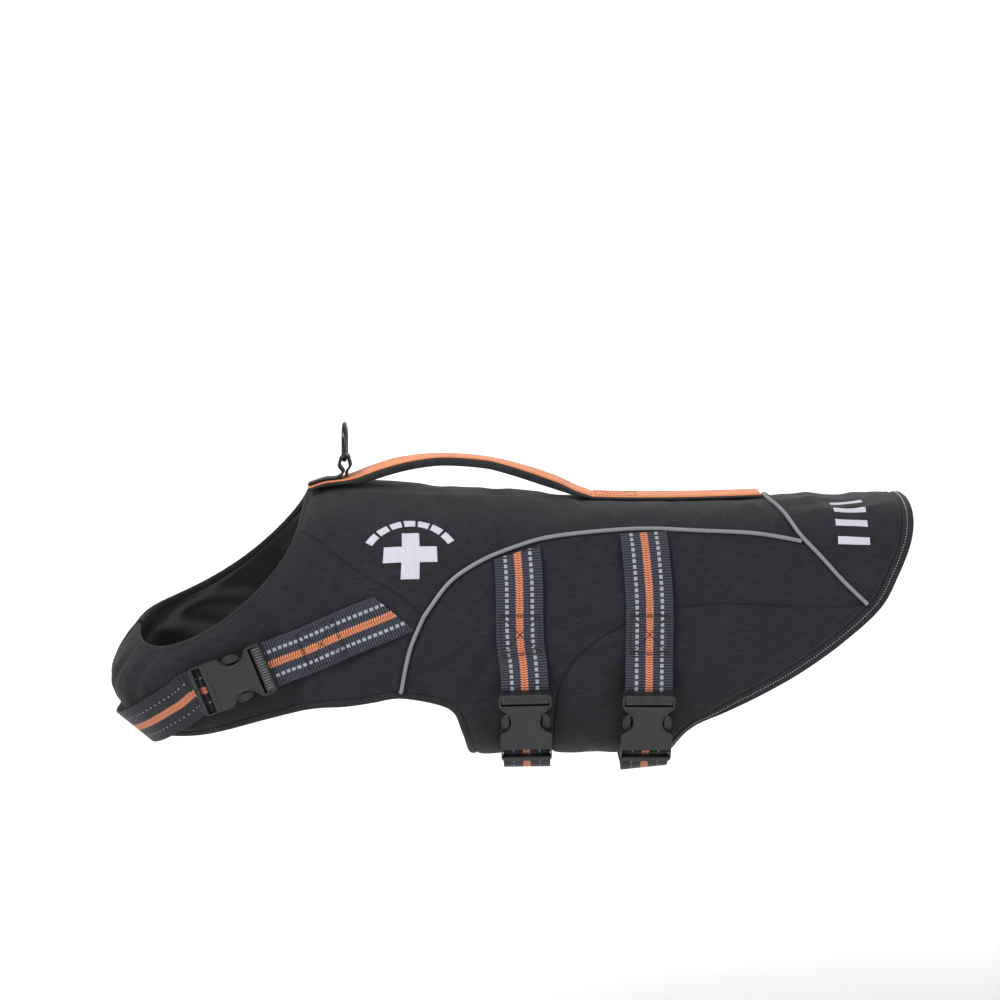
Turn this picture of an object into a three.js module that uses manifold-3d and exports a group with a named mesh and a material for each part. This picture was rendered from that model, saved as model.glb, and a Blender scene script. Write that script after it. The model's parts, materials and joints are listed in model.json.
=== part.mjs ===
// A life jacket for a large dog, in millimetres, filled out as it is when worn.
// +X runs along the back to the tail, -Y is the dog's left side and +Z is up.
// The origin is on the inner face of the back, midway between the two girth straps.
import * as THREE from 'three';
import { mergeVertices } from 'three/addons/utils/BufferGeometryUtils.js';
import Module from 'manifold-3d';

const wasm = await Module();
wasm.setup();

// Cloth and foam
const WALL = 5; // from the form's surface to the inner face of a panel
const PUFF = 2; // how far the foam swells a panel's outer face between its seams
const PUFF_REACH = 24; // distance from a seam at which the swelling is full
const SEAM_GAP = 0.4; // between two panels
const CLOSURE_ANGLE = 177.5; // the left edges stop here, short of the belly and chest centre lines
const SQUARENESS = 0.055; // squares the rings a little: 0 is an ellipse
const NECK_BINDING = 5;
const LOW_BINDING = 6;
const HEM_BINDING = 9;
const BINDING_IN = 4.4; // the inner face of a binding, below the form
const BINDING_OUT = 0.4; // its outer face, above the form
const PIPING_RADIUS = 2;

// Webbing and hardware
const WEBBING_WIDTH = 38;
const WEBBING_THICK = 1.8;
const WEBBING_CLEAR = 1.2; // from the swollen panels to a strap
const END_GAP = 3; // from a seam to the strap's end that is sewn on beside it
const BUCKLE_LENGTH = 63;
const BUCKLE_HALF = 21;
const BUCKLE_THICK = 10;
const FEMALE_LENGTH = 47.7;
const SLOT_HALF = WEBBING_WIDTH / 2 + 0.3;
const RECESS = 3.6; // room for the webbing under each end bar
const STAND_OFF = 3; // from the swollen panels to the underside of a buckle

// Handle, back strip and leash ring
const HANDLE_WIDTH = 34;
const FACE_WIDTH = 29;
const FACE_THICK = 1.2;
const STRIP_BASE_THICK = 1.4;
const RING_X = -197.5;
const RING_BAR_Z = 38.5;
const RING_HEIGHT = 28.8; // from the middle of the bar to the middle of the wire at the top
const RING_HALF = 14;
const RING_WIRE = 2; // radius
const LOOP_WIDTH = 20;
const LOOP_THICK = 1.6;

const table = (columns, rows) =>
  rows.map((row) => Object.fromEntries(columns.split(' ').map((name, i) => [name, row[i]])));

// Rings round the body, from the neck edge to the tail. Each ring leans from a point on the back to a
// point under the belly, and round the neck the rings fan out until they face forward. setBack bows
// a ring towards the body at its sides, and roll lowers the left side and lifts the right.
const RINGS = table('station topX topZ lowX lowZ halfWidth setBack roll', [
  [0, -232, 6, -370, -97, 80, 24, 0.19],
  [10, -222, 11, -391, -129, 84, 21, 0.17],
  [22, -210, 14, -383, -159, 86, 18, 0.14],
  [40, -192, 16, -351, -187, 87, 14, 0.11],
  [62, -170, 15, -298, -203, 88, 11, 0.09],
  [90, -142, 14, -228, -207, 89, 7, 0.06],
  [125, -107, 12, -160, -206, 91, 4, 0.03],
  [170, -62, 10, -82, -204, 92, 1, 0.01],
  [232, 0, 5, 0, -203, 92, 0, 0],
  [300, 68, 4, 68, -202, 90, 0, 0],
  [380, 148, 6, 148, -190, 85, 0, 0],
  [450, 218, 8, 218, -168, 78, 0, 0],
  [520, 288, 11, 288, -140, 70, 0, 0],
]);

// Seams and edges on the form: the station along the back, and the angle round from the spine.
// They are given for the left side and mirrored for the right.
const lines = (rows) => table('station angle', rows);
const SHOULDER_SEAM = lines([[0, 36], [22, 44], [44, 53], [71, 63], [101, 73], [121, 81]]);
const PIPING_LOW = lines([[121, 81], [118, 90], [118, 98], [120, 111]]);
const PIPING_HIGH = lines([
  [121, 81], [133, 69], [152, 61], [174, 55], [204, 48], [243, 43], [283, 41],
  [324, 43], [364, 46], [390, 50], [410, 54],
]);
const TAIL_SIDE = lines([[410, 54], [418, 60], [436, 73], [458, 86.5]]);
const TAIL_TOP = lines([[381, 0], [385, 15], [393, 31], [402, 46], [410, 54]]);
const CHEST_SEAM = lines([[0, 79], [20, 81], [40, 86], [57, 95], [70, 105], [76, 113.5]]);
const CHEST_EDGE_LEFT = lines([
  [33, CLOSURE_ANGLE], [36, 160], [40, 144], [49, 131], [61, 119.5], [76, 113.5],
]);
const CHEST_EDGE_RIGHT = lines([
  [45, CLOSURE_ANGLE], [43, 160], [43, 144], [51, 130], [62, 119], [76, 113.5],
]);
const ARM_EDGE = lines([[76, 113.5], [93, 113], [106, 112], [120, 111]]);
const BELLY_FRONT = lines([
  [120, 111], [140, 114.5], [150, 119], [155, 128], [159, 140], [162, 160], [163, CLOSURE_ANGLE],
]);
const SIDE_SEAM = lines([
  [211, CLOSURE_ANGLE], [210, 148], [210, 118], [215, 105], [231, 94], [260, 85], [297, 79],
  [339, 78], [387, 81], [430, 85], [458, 86.5],
]);
const HEM_LOW = lines([
  [302, CLOSURE_ANGLE], [304, 160], [309, 141], [321, 130], [344, 124], [376, 117], [408, 110], [441, 101], [470, 90],
]);
const HEM_TAIL = lines([[470, 90], [484, 77], [494, 62], [498, 45], [498, 20], [497, 0]]);

// Straps: the middle line of the webbing on the form. Angles run on past 180 to the right side.
const NECK_STRAP = lines([
  [101.5, 79.3], [94, 81], [75, 85.5], [60, 91], [49, 96], [41, 101.5], [34, 108], [30, 120], [29, 143], [31, 180],
]);
const GIRTH_STRAPS = {
  front: lines([[179, 57], [182, 70], [185, 90], [189, 101], [190, 109], [192, 126], [194, 160], [194, 180]]),
  rear: lines([[278, 44], [280, 59], [282, 75], [282, 90], [281, 109], [280, 126], [280, 160], [280, 180]]),
};

// The handle's top line over the back, with its thickness: flat where it is sewn down.
const HANDLE = table('x top thick', [
  [-228, 0, 3.2], [-213, 0, 3.2], [-200, 0, 3.4], [-190, 25, 5.5], [-178, 29.5, 7], [-158, 36, 7.4], [-138, 40, 7.5],
  [-119, 41.6, 7.5], [-98, 41, 7.5], [-76, 38.4, 7.5], [-54, 32.8, 7.5], [-34, 26.4, 7.2], [-18, 20.4, 6.6],
  [-6, 14.6, 4.8], [6, 0, 3.2],
]);

// A smooth value of one column of the rings at a station
function ring(column, station) {
  const last = RINGS.length - 1;
  let i = 0;
  while (i < last - 1 && station >= RINGS[i + 1].station) i++;
  const slope = (k) => (RINGS[k + 1][column] - RINGS[k][column]) / (RINGS[k + 1].station - RINGS[k].station);
  const tangent = (k) => {
    if (k === 0) return slope(0);
    if (k === last) return slope(last - 1);
    const before = RINGS[k].station - RINGS[k - 1].station;
    const after = RINGS[k + 1].station - RINGS[k].station;
    return (slope(k - 1) * after + slope(k) * before) / (before + after);
  };
  const span = RINGS[i + 1].station - RINGS[i].station;
  const t = (station - RINGS[i].station) / span;
  const start = (1 + 2 * t) * (1 - t) ** 2 * RINGS[i][column] + t * (1 - t) ** 2 * span * tangent(i);
  return start + t * t * (3 - 2 * t) * RINGS[i + 1][column] + t * t * (t - 1) * span * tangent(i + 1);
}

// A point on the form. Positive angles are on the left.
function form(station, angle) {
  const turn = THREE.MathUtils.degToRad(angle);
  const top = new THREE.Vector2(ring('topX', station), ring('topZ', station));
  const lean = new THREE.Vector2(ring('lowX', station), ring('lowZ', station)).sub(top);
  const across = (Math.sin(turn) + SQUARENESS * Math.sin(3 * turn)) / (1 - SQUARENESS);
  const down = 0.5 - (0.5 * (Math.cos(turn) - SQUARENESS * Math.cos(3 * turn))) / (1 - SQUARENESS);
  const out = ring('halfWidth', station) * across;
  const bow = (ring('setBack', station) * Math.sin(turn) ** 2) / lean.length();
  return new THREE.Vector3(
    top.x + lean.x * down - lean.y * bow,
    -out,
    top.y + lean.y * down + lean.x * bow - ring('roll', station) * out,
  );
}

// The form's point, outward normal and two directions along it, raised by a height
function spot(station, angle, height = 0) {
  const step = 0.5;
  const along = form(station + step, angle).sub(form(station - step, angle)).divideScalar(2 * step);
  const round = form(station, angle + step).sub(form(station, angle - step)).divideScalar(2 * step);
  const normal = round.clone().cross(along).normalize();
  return { point: form(station, angle).addScaledVector(normal, height), normal, along, round };
}

const mirrored = (rows) => rows.map(({ station, angle }) => ({ station, angle: -angle }));
const backwards = (rows) => [...rows].reverse();
const joined = (...parts) => parts.flatMap((part, i) => (i ? part.slice(1) : part));

// A smooth line through rows, cut into equal steps, with its ends moved to meet other lines
function traced(rows, steps, start, end) {
  const curve = new THREE.SplineCurve(rows.map(({ station, angle }) => new THREE.Vector2(station, angle)));
  const cut = curve.getSpacedPoints(steps).map(({ x, y }) => ({ station: x, angle: y }));
  if (start) cut[0] = start;
  if (end) cut[steps] = end;
  return cut;
}

// The line a distance to one side of another on the form
function beside(line, distance) {
  return line.map(({ station, angle }, i) => {
    const { along, round, normal } = spot(station, angle);
    const before = line[Math.max(i - 1, 0)];
    const after = line[Math.min(i + 1, line.length - 1)];
    const way = form(after.station, after.angle).sub(form(before.station, before.angle)).normalize();
    const aside = normal.clone().cross(way).multiplyScalar(typeof distance === 'function' ? distance(i) : distance);
    // Writes the sideways move as steps along and round the form
    const [aa, ab, bb] = [along.dot(along), along.dot(round), round.dot(round)];
    const [pa, pb] = [aside.dot(along), aside.dot(round)];
    const det = aa * bb - ab * ab;
    return { station: station + (pa * bb - pb * ab) / det, angle: angle + (pb * aa - pa * ab) / det };
  });
}

// A grid that fills four lines: top and bottom run one way, left and right the other
function filled(top, bottom, left, right) {
  const n = top.length - 1;
  const m = left.length - 1;
  const mix = (key, i, j) => {
    const [u, v] = [i / n, j / m];
    const edges = (1 - v) * top[i][key] + v * bottom[i][key] + (1 - u) * left[j][key] + u * right[j][key];
    const corners =
      (1 - v) * ((1 - u) * top[0][key] + u * top[n][key]) + v * ((1 - u) * bottom[0][key] + u * bottom[n][key]);
    return edges - corners;
  };
  return left.map((_, j) => top.map((__, i) => ({ station: mix('station', i, j), angle: mix('angle', i, j) })));
}

// A closed body from points and faces, turned so that its faces point out
function body(points, faces) {
  let volume = 0;
  for (const [a, b, c] of faces) volume += points[a].dot(points[b].clone().cross(points[c]));
  const geometry = new THREE.BufferGeometry();
  geometry.setAttribute('position', new THREE.Float32BufferAttribute(points.flatMap((p) => p.toArray()), 3));
  geometry.setIndex(faces.flatMap(([a, b, c]) => (volume < 0 ? [a, c, b] : [a, b, c])));
  return geometry;
}

// A skin over a row of rings of equal length, closed on itself or capped at its ends
function skin(rings, closed = false) {
  const points = rings.flat();
  const n = rings[0].length;
  const faces = [];
  const count = closed ? rings.length : rings.length - 1;
  for (let i = 0; i < count; i++) {
    const next = ((i + 1) % rings.length) * n;
    for (let j = 0; j < n; j++) {
      const k = (j + 1) % n;
      faces.push([i * n + j, i * n + k, next + k], [i * n + j, next + k, next + j]);
    }
  }
  if (!closed) {
    const end = (rings.length - 1) * n;
    for (let j = 1; j < n - 1; j++) faces.push([0, j + 1, j], [end, end + j, end + j + 1]);
  }
  return body(points, faces);
}

// Pulls the rim of a grid of points in, for the gap at a seam
function pulledIn(grid, gap) {
  const [m, n] = [grid.length - 1, grid[0].length - 1];
  const pull = (point, to) => point.add(to.clone().sub(point).setLength(gap));
  for (let i = 0; i <= n; i++) {
    pull(grid[0][i], grid[1][i]);
    pull(grid[m][i], grid[m - 1][i]);
  }
  for (let j = 0; j <= m; j++) {
    pull(grid[j][0], grid[j][1]);
    pull(grid[j][n], grid[j][n - 1]);
  }
  return grid;
}

// A cloth wall over a grid on the form: heights gives its outer face, and its inner face is plain
function wall(grid, heights, depth, gap = SEAM_GAP / 2) {
  const outer = pulledIn(grid.map((row, j) => row.map((c, i) => spot(c.station, c.angle, heights(j, i)).point)), gap);
  const inner = pulledIn(grid.map((row) => row.map((c) => spot(c.station, c.angle, -depth).point)), gap);
  const [rows, columns] = [grid.length, grid[0].length];
  const points = [...outer.flat(), ...inner.flat()];
  const at = (j, i, side) => side * rows * columns + j * columns + i;
  const faces = [];
  const quad = (a, b, c, d) => faces.push([a, b, c], [a, c, d]);
  for (let j = 0; j < rows - 1; j++) {
    for (let i = 0; i < columns - 1; i++) {
      quad(at(j, i, 0), at(j, i + 1, 0), at(j + 1, i + 1, 0), at(j + 1, i, 0));
      quad(at(j, i, 1), at(j + 1, i, 1), at(j + 1, i + 1, 1), at(j, i + 1, 1));
    }
  }
  // The rim's faces are split the same way on both sides of a seam, so that the gap stays even
  const rank = (k) => points[k].x + points[k].z;
  const rimQuad = (a, b, c, d) => (rank(a) < rank(b) ? quad(a, b, c, d) : quad(b, c, d, a));
  for (let i = 0; i < columns - 1; i++) {
    rimQuad(at(0, i, 1), at(0, i + 1, 1), at(0, i + 1, 0), at(0, i, 0));
    rimQuad(at(rows - 1, i + 1, 1), at(rows - 1, i, 1), at(rows - 1, i, 0), at(rows - 1, i + 1, 0));
  }
  for (let j = 0; j < rows - 1; j++) {
    rimQuad(at(j + 1, 0, 1), at(j, 0, 1), at(j, 0, 0), at(j + 1, 0, 0));
    rimQuad(at(j, columns - 1, 1), at(j + 1, columns - 1, 1), at(j + 1, columns - 1, 0), at(j, columns - 1, 0));
  }
  return body(points, faces);
}

// How far a panel's outer face is swollen at a distance from its seams
const swelling = (distance) => PUFF * THREE.MathUtils.smoothstep(distance / PUFF_REACH, 0, 1);

// A foam panel, swollen between its seams
function panel(top, bottom, left, right) {
  const grid = filled(top, bottom, left, right);
  const points = grid.map((row) => row.map((c) => form(c.station, c.angle)));
  const rim = [...points[0], ...points[points.length - 1], ...points.flatMap((row) => [row[0], row[row.length - 1]])];
  const heights = (j, i) => swelling(Math.min(...rim.map((p) => p.distanceTo(points[j][i]))));
  return wall(grid, heights, WALL);
}

// A narrow binding between an edge and the line that its panel stops at
const binding = (edge, inside) => wall([edge, inside], () => BINDING_OUT, BINDING_IN);

// The jacket's seams and edges, all cut at the same points on both sides of each seam
const STEPS = { shoulder: 6, pipingLow: 7, pipingHigh: 12, tail: 6, chest: 8, chestSeam: 4, rim: 3, belly: 5, side: 24 };

function edgesOf(side) {
  const of = (rows) => (side === 'left' ? rows : mirrored(rows));
  const closure = side === 'left' ? CLOSURE_ANGLE : -CLOSURE_ANGLE;
  const turn = side === 'left' ? 1 : -1;
  const ringEdge = (from, to, steps) =>
    Array.from({ length: steps + 1 }, (_, i) => ({ station: 0, angle: from + ((to - from) * i) / steps }));
  const [chestTop, shoulderTop] = [CHEST_SEAM[0].angle * turn, SHOULDER_SEAM[0].angle * turn];
  const chestRim = ringEdge(closure, chestTop, STEPS.chest);
  const shoulderRim = ringEdge(chestTop, shoulderTop, STEPS.rim);
  const topRim = ringEdge(shoulderTop, 0, STEPS.tail);
  const neck = joined(chestRim, shoulderRim, topRim);
  const low = joined(
    traced(of(side === 'left' ? CHEST_EDGE_LEFT : CHEST_EDGE_RIGHT), STEPS.chest),
    traced(of(ARM_EDGE), STEPS.shoulder),
    traced(of(BELLY_FRONT), STEPS.belly),
  );
  const hem = joined(traced(of(HEM_LOW), STEPS.side), traced(of(HEM_TAIL), 2 * STEPS.tail));
  const narrow = 9; // hem steps over which the binding is narrow, under the belly
  return {
    neck,
    neckIn: beside(neck, -NECK_BINDING * turn),
    low,
    lowIn: beside(low, LOW_BINDING * turn),
    hem,
    hemIn: beside(hem, (i) => (i < narrow ? LOW_BINDING : HEM_BINDING) * turn),
  };
}

// The panels and bindings of one side, and what the middle panels need from it
function cutSide(side) {
  const of = (rows) => (side === 'left' ? rows : mirrored(rows));
  const edges = edgesOf(side);
  const { neckIn, lowIn, hemIn } = edges;
  const chestRim = neckIn.slice(0, STEPS.chest + 1);
  const shoulderRim = neckIn.slice(STEPS.chest, STEPS.chest + STEPS.rim + 1);
  const topRim = neckIn.slice(STEPS.chest + STEPS.rim);
  const chestLow = lowIn.slice(0, STEPS.chest + 1);
  const armLow = lowIn.slice(STEPS.chest, STEPS.chest + STEPS.shoulder + 1);
  const bellyFront = lowIn.slice(STEPS.chest + STEPS.shoulder);
  const hemLow = hemIn.slice(0, STEPS.side + 1);
  const hemTail = hemIn.slice(STEPS.side);

  const shoulderSeam = traced(of(SHOULDER_SEAM), STEPS.shoulder, topRim[0]);
  const chestSeam = traced(of(CHEST_SEAM), STEPS.chestSeam, shoulderRim[0], armLow[0]);
  const meeting = shoulderSeam[STEPS.shoulder];
  const pipingLow = traced(of(PIPING_LOW), STEPS.pipingLow, meeting, armLow[STEPS.shoulder]);
  const pipingHigh = traced(of(PIPING_HIGH), STEPS.pipingHigh, meeting);
  const tailSide = traced(of(TAIL_SIDE), STEPS.tail, pipingHigh[STEPS.pipingHigh]);
  const tailTop = traced(of(TAIL_TOP), STEPS.tail, undefined, pipingHigh[STEPS.pipingHigh]);
  const sideSeam = traced(of(SIDE_SEAM), STEPS.side, undefined, tailSide[STEPS.tail]);
  const straight = (from, to, steps) => traced([from, to], steps);
  const hemCorner = straight(tailSide[STEPS.tail], hemLow[STEPS.side], 4);

  const chestClosure = straight(chestRim[0], chestLow[0], STEPS.chestSeam);
  const bellyClosure = straight(bellyFront[STEPS.belly], sideSeam[0], STEPS.tail);
  const lowClosure = straight(sideSeam[0], hemLow[0], 4);
  const upperTop = joined(backwards(bellyFront), backwards(pipingLow), pipingHigh);
  return {
    edges,
    topRim,
    shoulderSeam,
    pipingLow,
    pipingHigh,
    tailSide,
    tailTop,
    hemTail,
    hemCorner,
    pieces: {
      chest: panel(chestRim, chestLow, chestClosure, chestSeam),
      shoulder: panel(shoulderSeam, armLow, joined(backwards(shoulderRim), chestSeam), pipingLow),
      side_upper: panel(upperTop, sideSeam, bellyClosure, tailSide),
      side_lower: panel(sideSeam, hemLow, lowClosure, hemCorner),
    },
  };
}

// A round cord laid on the form along a line
function piping(line) {
  const spots = line.map((c) => spot(c.station, c.angle, PIPING_RADIUS + 0.7));
  const sides = 6;
  return skin(
    spots.map(({ point, normal }, i) => {
      const way = spots[Math.min(i + 1, spots.length - 1)].point.clone().sub(spots[Math.max(i - 1, 0)].point).normalize();
      const across = way.clone().cross(normal).normalize();
      const up = across.clone().cross(way);
      return Array.from({ length: sides }, (_, k) => {
        const turn = (2 * Math.PI * (k + 0.5)) / sides;
        return point
          .clone()
          .addScaledVector(across, PIPING_RADIUS * Math.cos(turn))
          .addScaledVector(up, PIPING_RADIUS * Math.sin(turn));
      });
    }),
  );
}

// A flat band over a row of places, each with a point and the way that its face looks.
// A place with a seam has its end of the band cut along that direction.
function band(places, width, thick) {
  return skin(
    places.map(({ point, normal, seam }, i) => {
      const way = places[Math.min(i + 1, places.length - 1)].point.clone().sub(places[Math.max(i - 1, 0)].point).normalize();
      const across = way.clone().cross(normal).normalize();
      const up = across.clone().cross(way);
      const slant = seam ? seam.dot(way) / seam.dot(across) : 0;
      const corner = (u, v) =>
        point
          .clone()
          .addScaledVector(across, (u * width) / 2)
          .addScaledVector(up, (v * thick) / 2)
          .addScaledVector(way, (u * slant * width) / 2);
      return [corner(-1, -1), corner(1, -1), corner(1, 1), corner(-1, 1)];
    }),
  );
}

// Geometry to a solid and back, for cuts
function solid(geometry) {
  const plain = geometry.clone();
  plain.deleteAttribute('normal');
  plain.deleteAttribute('uv');
  const merged = mergeVertices(plain, 1e-4);
  return new wasm.Manifold(
    new wasm.Mesh({
      numProp: 3,
      vertProperties: new Float32Array(merged.attributes.position.array),
      triVerts: new Uint32Array(merged.index.array),
    }),
  );
}

function geometryOf(made) {
  const { numProp, vertProperties, triVerts } = made.getMesh();
  const geometry = new THREE.BufferGeometry();
  const places = new Float32Array((vertProperties.length / numProp) * 3);
  for (let i = 0; i < places.length / 3; i++) places.set(vertProperties.subarray(i * numProp, i * numProp + 3), i * 3);
  geometry.setAttribute('position', new THREE.BufferAttribute(places, 3));
  geometry.setIndex(new THREE.BufferAttribute(triVerts, 1));
  return geometry;
}

// A block between two corners
function block([x0, y0, z0], [x1, y1, z1]) {
  return new THREE.BoxGeometry(x1 - x0, y1 - y0, z1 - z0).translate((x0 + x1) / 2, (y0 + y1) / 2, (z0 + z1) / 2);
}

// A plate cut to an outline that is the same on both sides of the X axis
function plate(outline, low, high) {
  const shape = new THREE.Shape([
    ...outline.map(([x, y]) => new THREE.Vector2(x, y)),
    ...backwards(outline).map(([x, y]) => new THREE.Vector2(x, -y)),
  ]);
  return new THREE.ExtrudeGeometry(shape, { depth: high - low, bevelEnabled: false }).translate(0, 0, low);
}

// The buckle lies along X from the socket's ribbed end bar to the plug's outer bar
const CAVITY = { low: 2.4, high: 7.6, half: 18.2, end: 15 };
const FEMALE_OUTLINE = [
  [0, 18.5], [1.2, 20.4], [3, BUCKLE_HALF], [11, BUCKLE_HALF], [14, 19], [17, 15], [20, 12.6], [25, 11.6], [30, 12.2],
  [33.5, 15], [36, 19], [37.5, 20.6], [FEMALE_LENGTH, 20.6],
];
const PRONG_OUTLINE = [[49, 15.8], [38, 15.8], [35, 17.2], [31, 19.4], [26, 19.8], [22, 18.4], [19.5, 15.2], [19.5, 13.6]];
const PRONG_INSIDE = [[24, 13.6], [49, 12]];
const MALE_START = FEMALE_LENGTH + 0.5;

function buckleSocket() {
  let made = solid(plate(FEMALE_OUTLINE, 0, BUCKLE_THICK));
  made = made.subtract(solid(block([5, -SLOT_HALF, -1], [10.5, SLOT_HALF, BUCKLE_THICK + 1])));
  made = made.subtract(solid(block([-1, -SLOT_HALF, -1], [10.5, SLOT_HALF, RECESS])));
  made = made.subtract(solid(block([CAVITY.end, -CAVITY.half, CAVITY.low], [BUCKLE_LENGTH, CAVITY.half, CAVITY.high])));
  return geometryOf(made);
}

function bucklePlug() {
  const [low, high] = [CAVITY.low + 0.6, CAVITY.high - 0.6];
  const frame = [[MALE_START, 20.4], [BUCKLE_LENGTH - 3, 20.4], [BUCKLE_LENGTH - 0.8, 19.4], [BUCKLE_LENGTH, 17.5]];
  let made = solid(plate(frame, 1.2, BUCKLE_THICK - 1.2));
  const windowEnd = BUCKLE_LENGTH - 3.5;
  made = made.subtract(solid(block([52.5, -SLOT_HALF, -1], [windowEnd, SLOT_HALF, BUCKLE_THICK])));
  made = made.subtract(solid(block([windowEnd - 1, -SLOT_HALF, -1], [BUCKLE_LENGTH + 1, SLOT_HALF, RECESS])));
  for (const side of [-1, 1]) {
    const outline = [...PRONG_OUTLINE, ...PRONG_INSIDE].map(([x, y]) => new THREE.Vector2(x, side * y));
    const prong = new THREE.ExtrudeGeometry(new THREE.Shape(outline), { depth: high - low, bevelEnabled: false });
    made = made.add(solid(prong.translate(0, 0, low)));
  }
  made = made.add(solid(block([30, -2.5, low], [49, 2.5, high])));
  return geometryOf(made);
}

// The webbing's way into the buckle, seen from the side: distance along the buckle and height
const SOCKET_ENTRY = [[-1.5, 1.9], [5.6, 1.9], [7.6, 3.4], [7.9, 7.2]];
const PLUG_ENTRY = [[54.8, 5.9], [57.5, 3.3], [60, 1.9], [65, 1.7]];

// The frame of a buckle on a strap: its middle sits over the strap's line at an angle round the body
function buckleFrame(line, angle) {
  const ahead = line.find((c) => c.angle > angle);
  const behind = line[line.indexOf(ahead) - 1];
  const station = THREE.MathUtils.mapLinear(angle, behind.angle, ahead.angle, behind.station, ahead.station);
  const { point, normal } = spot(station, angle, PUFF + STAND_OFF);
  const x = form(ahead.station, ahead.angle).sub(form(behind.station, behind.angle));
  x.addScaledVector(normal, -x.dot(normal)).normalize();
  const y = normal.clone().cross(x);
  const origin = point.clone().addScaledVector(x, -BUCKLE_LENGTH / 2);
  return new THREE.Matrix4().makeBasis(x, y, normal).setPosition(origin);
}

// The webbing's places in a buckle, from its side view
function entryPlaces(frame, entry) {
  return entry.map(([x, z], i) => {
    const [x0, z0] = entry[Math.max(i - 1, 0)];
    const [x1, z1] = entry[Math.min(i + 1, entry.length - 1)];
    const facing = new THREE.Vector3(-(z1 - z0), 0, x1 - x0).normalize();
    return { point: new THREE.Vector3(x, 0, z).applyMatrix4(frame), normal: facing.transformDirection(frame) };
  });
}

// One strap: the length sewn on at the left, down to the socket, and the length from the plug round to
// the right, where it is sewn on at the same place. Its ends lie along a seam of the panels.
function strap(rows, seamRows, middleAngle, sewnEnd, freeStart, sag) {
  const steps = 24;
  const near = traced(rows, steps);
  const far = backwards(near).map(({ station, angle }) => ({ station, angle: 360 - angle }));
  const whole = joined(near, far);
  const frame = buckleFrame(near, middleAngle);
  const next = seamRows.findIndex(({ station }) => station > rows[0].station);
  const seamAt = (turn) => {
    const [from, to] = [seamRows[next - 1], seamRows[next]];
    return form(to.station, turn * to.angle).sub(form(from.station, turn * from.angle)).normalize();
  };
  const last = whole.length - 1;
  const ends = [whole[0], whole[last]].map((c) => form(c.station, c.angle));
  const places = whole.map((c) => {
    const toEnd = Math.min(...ends.map((end) => end.distanceTo(form(c.station, c.angle))));
    const lift = swelling(END_GAP + toEnd) + WEBBING_CLEAR + WEBBING_THICK / 2;
    return spot(c.station, c.angle, lift + sag(c.angle));
  });
  places[0].seam = seamAt(1);
  places[last].seam = seamAt(-1);
  const sewn = places.filter((_, i) => whole[i].angle <= sewnEnd);
  const free = places.filter((_, i) => whole[i].angle >= freeStart);
  return {
    frame,
    sewn: band([...sewn, ...entryPlaces(frame, SOCKET_ENTRY)], WEBBING_WIDTH, WEBBING_THICK),
    free: band([...entryPlaces(frame, PLUG_ENTRY), ...free], WEBBING_WIDTH, WEBBING_THICK),
  };
}

// The highest point of the back's outer face across the width of a strip along the spine
function crown(x) {
  let [low, high] = [0, 520];
  while (high - low > 0.01) {
    const middle = (low + high) / 2;
    if (form(middle, 0).x < x) low = middle;
    else high = middle;
  }
  return Math.max(...[-10, -5, 0, 5, 10].map((angle) => form(low, angle).z)) + PUFF;
}

// A band that lies along the top of the back
function backBand(rows, width) {
  const places = rows.map(({ x, z }) => new THREE.Vector3(x, 0, z));
  return (thickAt, shift) =>
    skin(
      places.map((place, i) => {
        const way = places[Math.min(i + 1, places.length - 1)].clone().sub(places[Math.max(i - 1, 0)]).normalize();
        const up = new THREE.Vector3(-way.z, 0, way.x);
        const thick = thickAt(i);
        const [top, low, half] = [shift, shift - thick, width / 2];
        const round = Math.min(thick / 2, 1.6);
        const outline = [
          [-half, low + round], [-half + round, low], [half - round, low], [half, low + round],
          [half, top - round], [half - round, top], [-half + round, top], [-half, top - round],
        ];
        return outline.map(([y, h]) => place.clone().addScaledVector(up, h).add(new THREE.Vector3(0, y, 0)));
      }),
    );
}

// The handle's top line, smoothed, with the thickness at each step
function handleLine() {
  const curve = new THREE.CatmullRomCurve3(
    HANDLE.map(({ x, top, thick }) => new THREE.Vector3(x, thick, Math.max(top, crown(x) + 0.6 + thick))),
  );
  const steps = Math.round(1.5 * (HANDLE.length - 1));
  return curve.getSpacedPoints(steps).map((p) => ({ x: p.x, thick: p.y, z: p.z }));
}

// The height of the handle's top at a place along the back
function handleTop(x) {
  const line = handleLine();
  const i = Math.max(1, line.findIndex((p) => p.x >= x));
  return THREE.MathUtils.mapLinear(x, line[i - 1].x, line[i].x, line[i - 1].z, line[i].z);
}

// The padded handle and the bright strip along its top
function handle() {
  const line = handleLine();
  return {
    pad: backBand(line, HANDLE_WIDTH)((i) => line[i].thick - FACE_THICK - 0.1, -FACE_THICK - 0.1),
    face: backBand(line, FACE_WIDTH)(() => FACE_THICK - 0.2, 0),
  };
}

// The bright strip sewn along the back behind the handle, on its dark base
function backStrip() {
  const [from, to, steps] = [9, 146, 8];
  const rows = Array.from({ length: steps + 1 }, (_, i) => {
    const x = from + ((to - from) * i) / steps;
    return { x, z: crown(x) + 0.6 + STRIP_BASE_THICK };
  });
  return {
    base: backBand(rows, HANDLE_WIDTH)(() => STRIP_BASE_THICK, 0),
    face: backBand(rows, FACE_WIDTH)(() => FACE_THICK, FACE_THICK + 0.2),
  };
}

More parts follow.
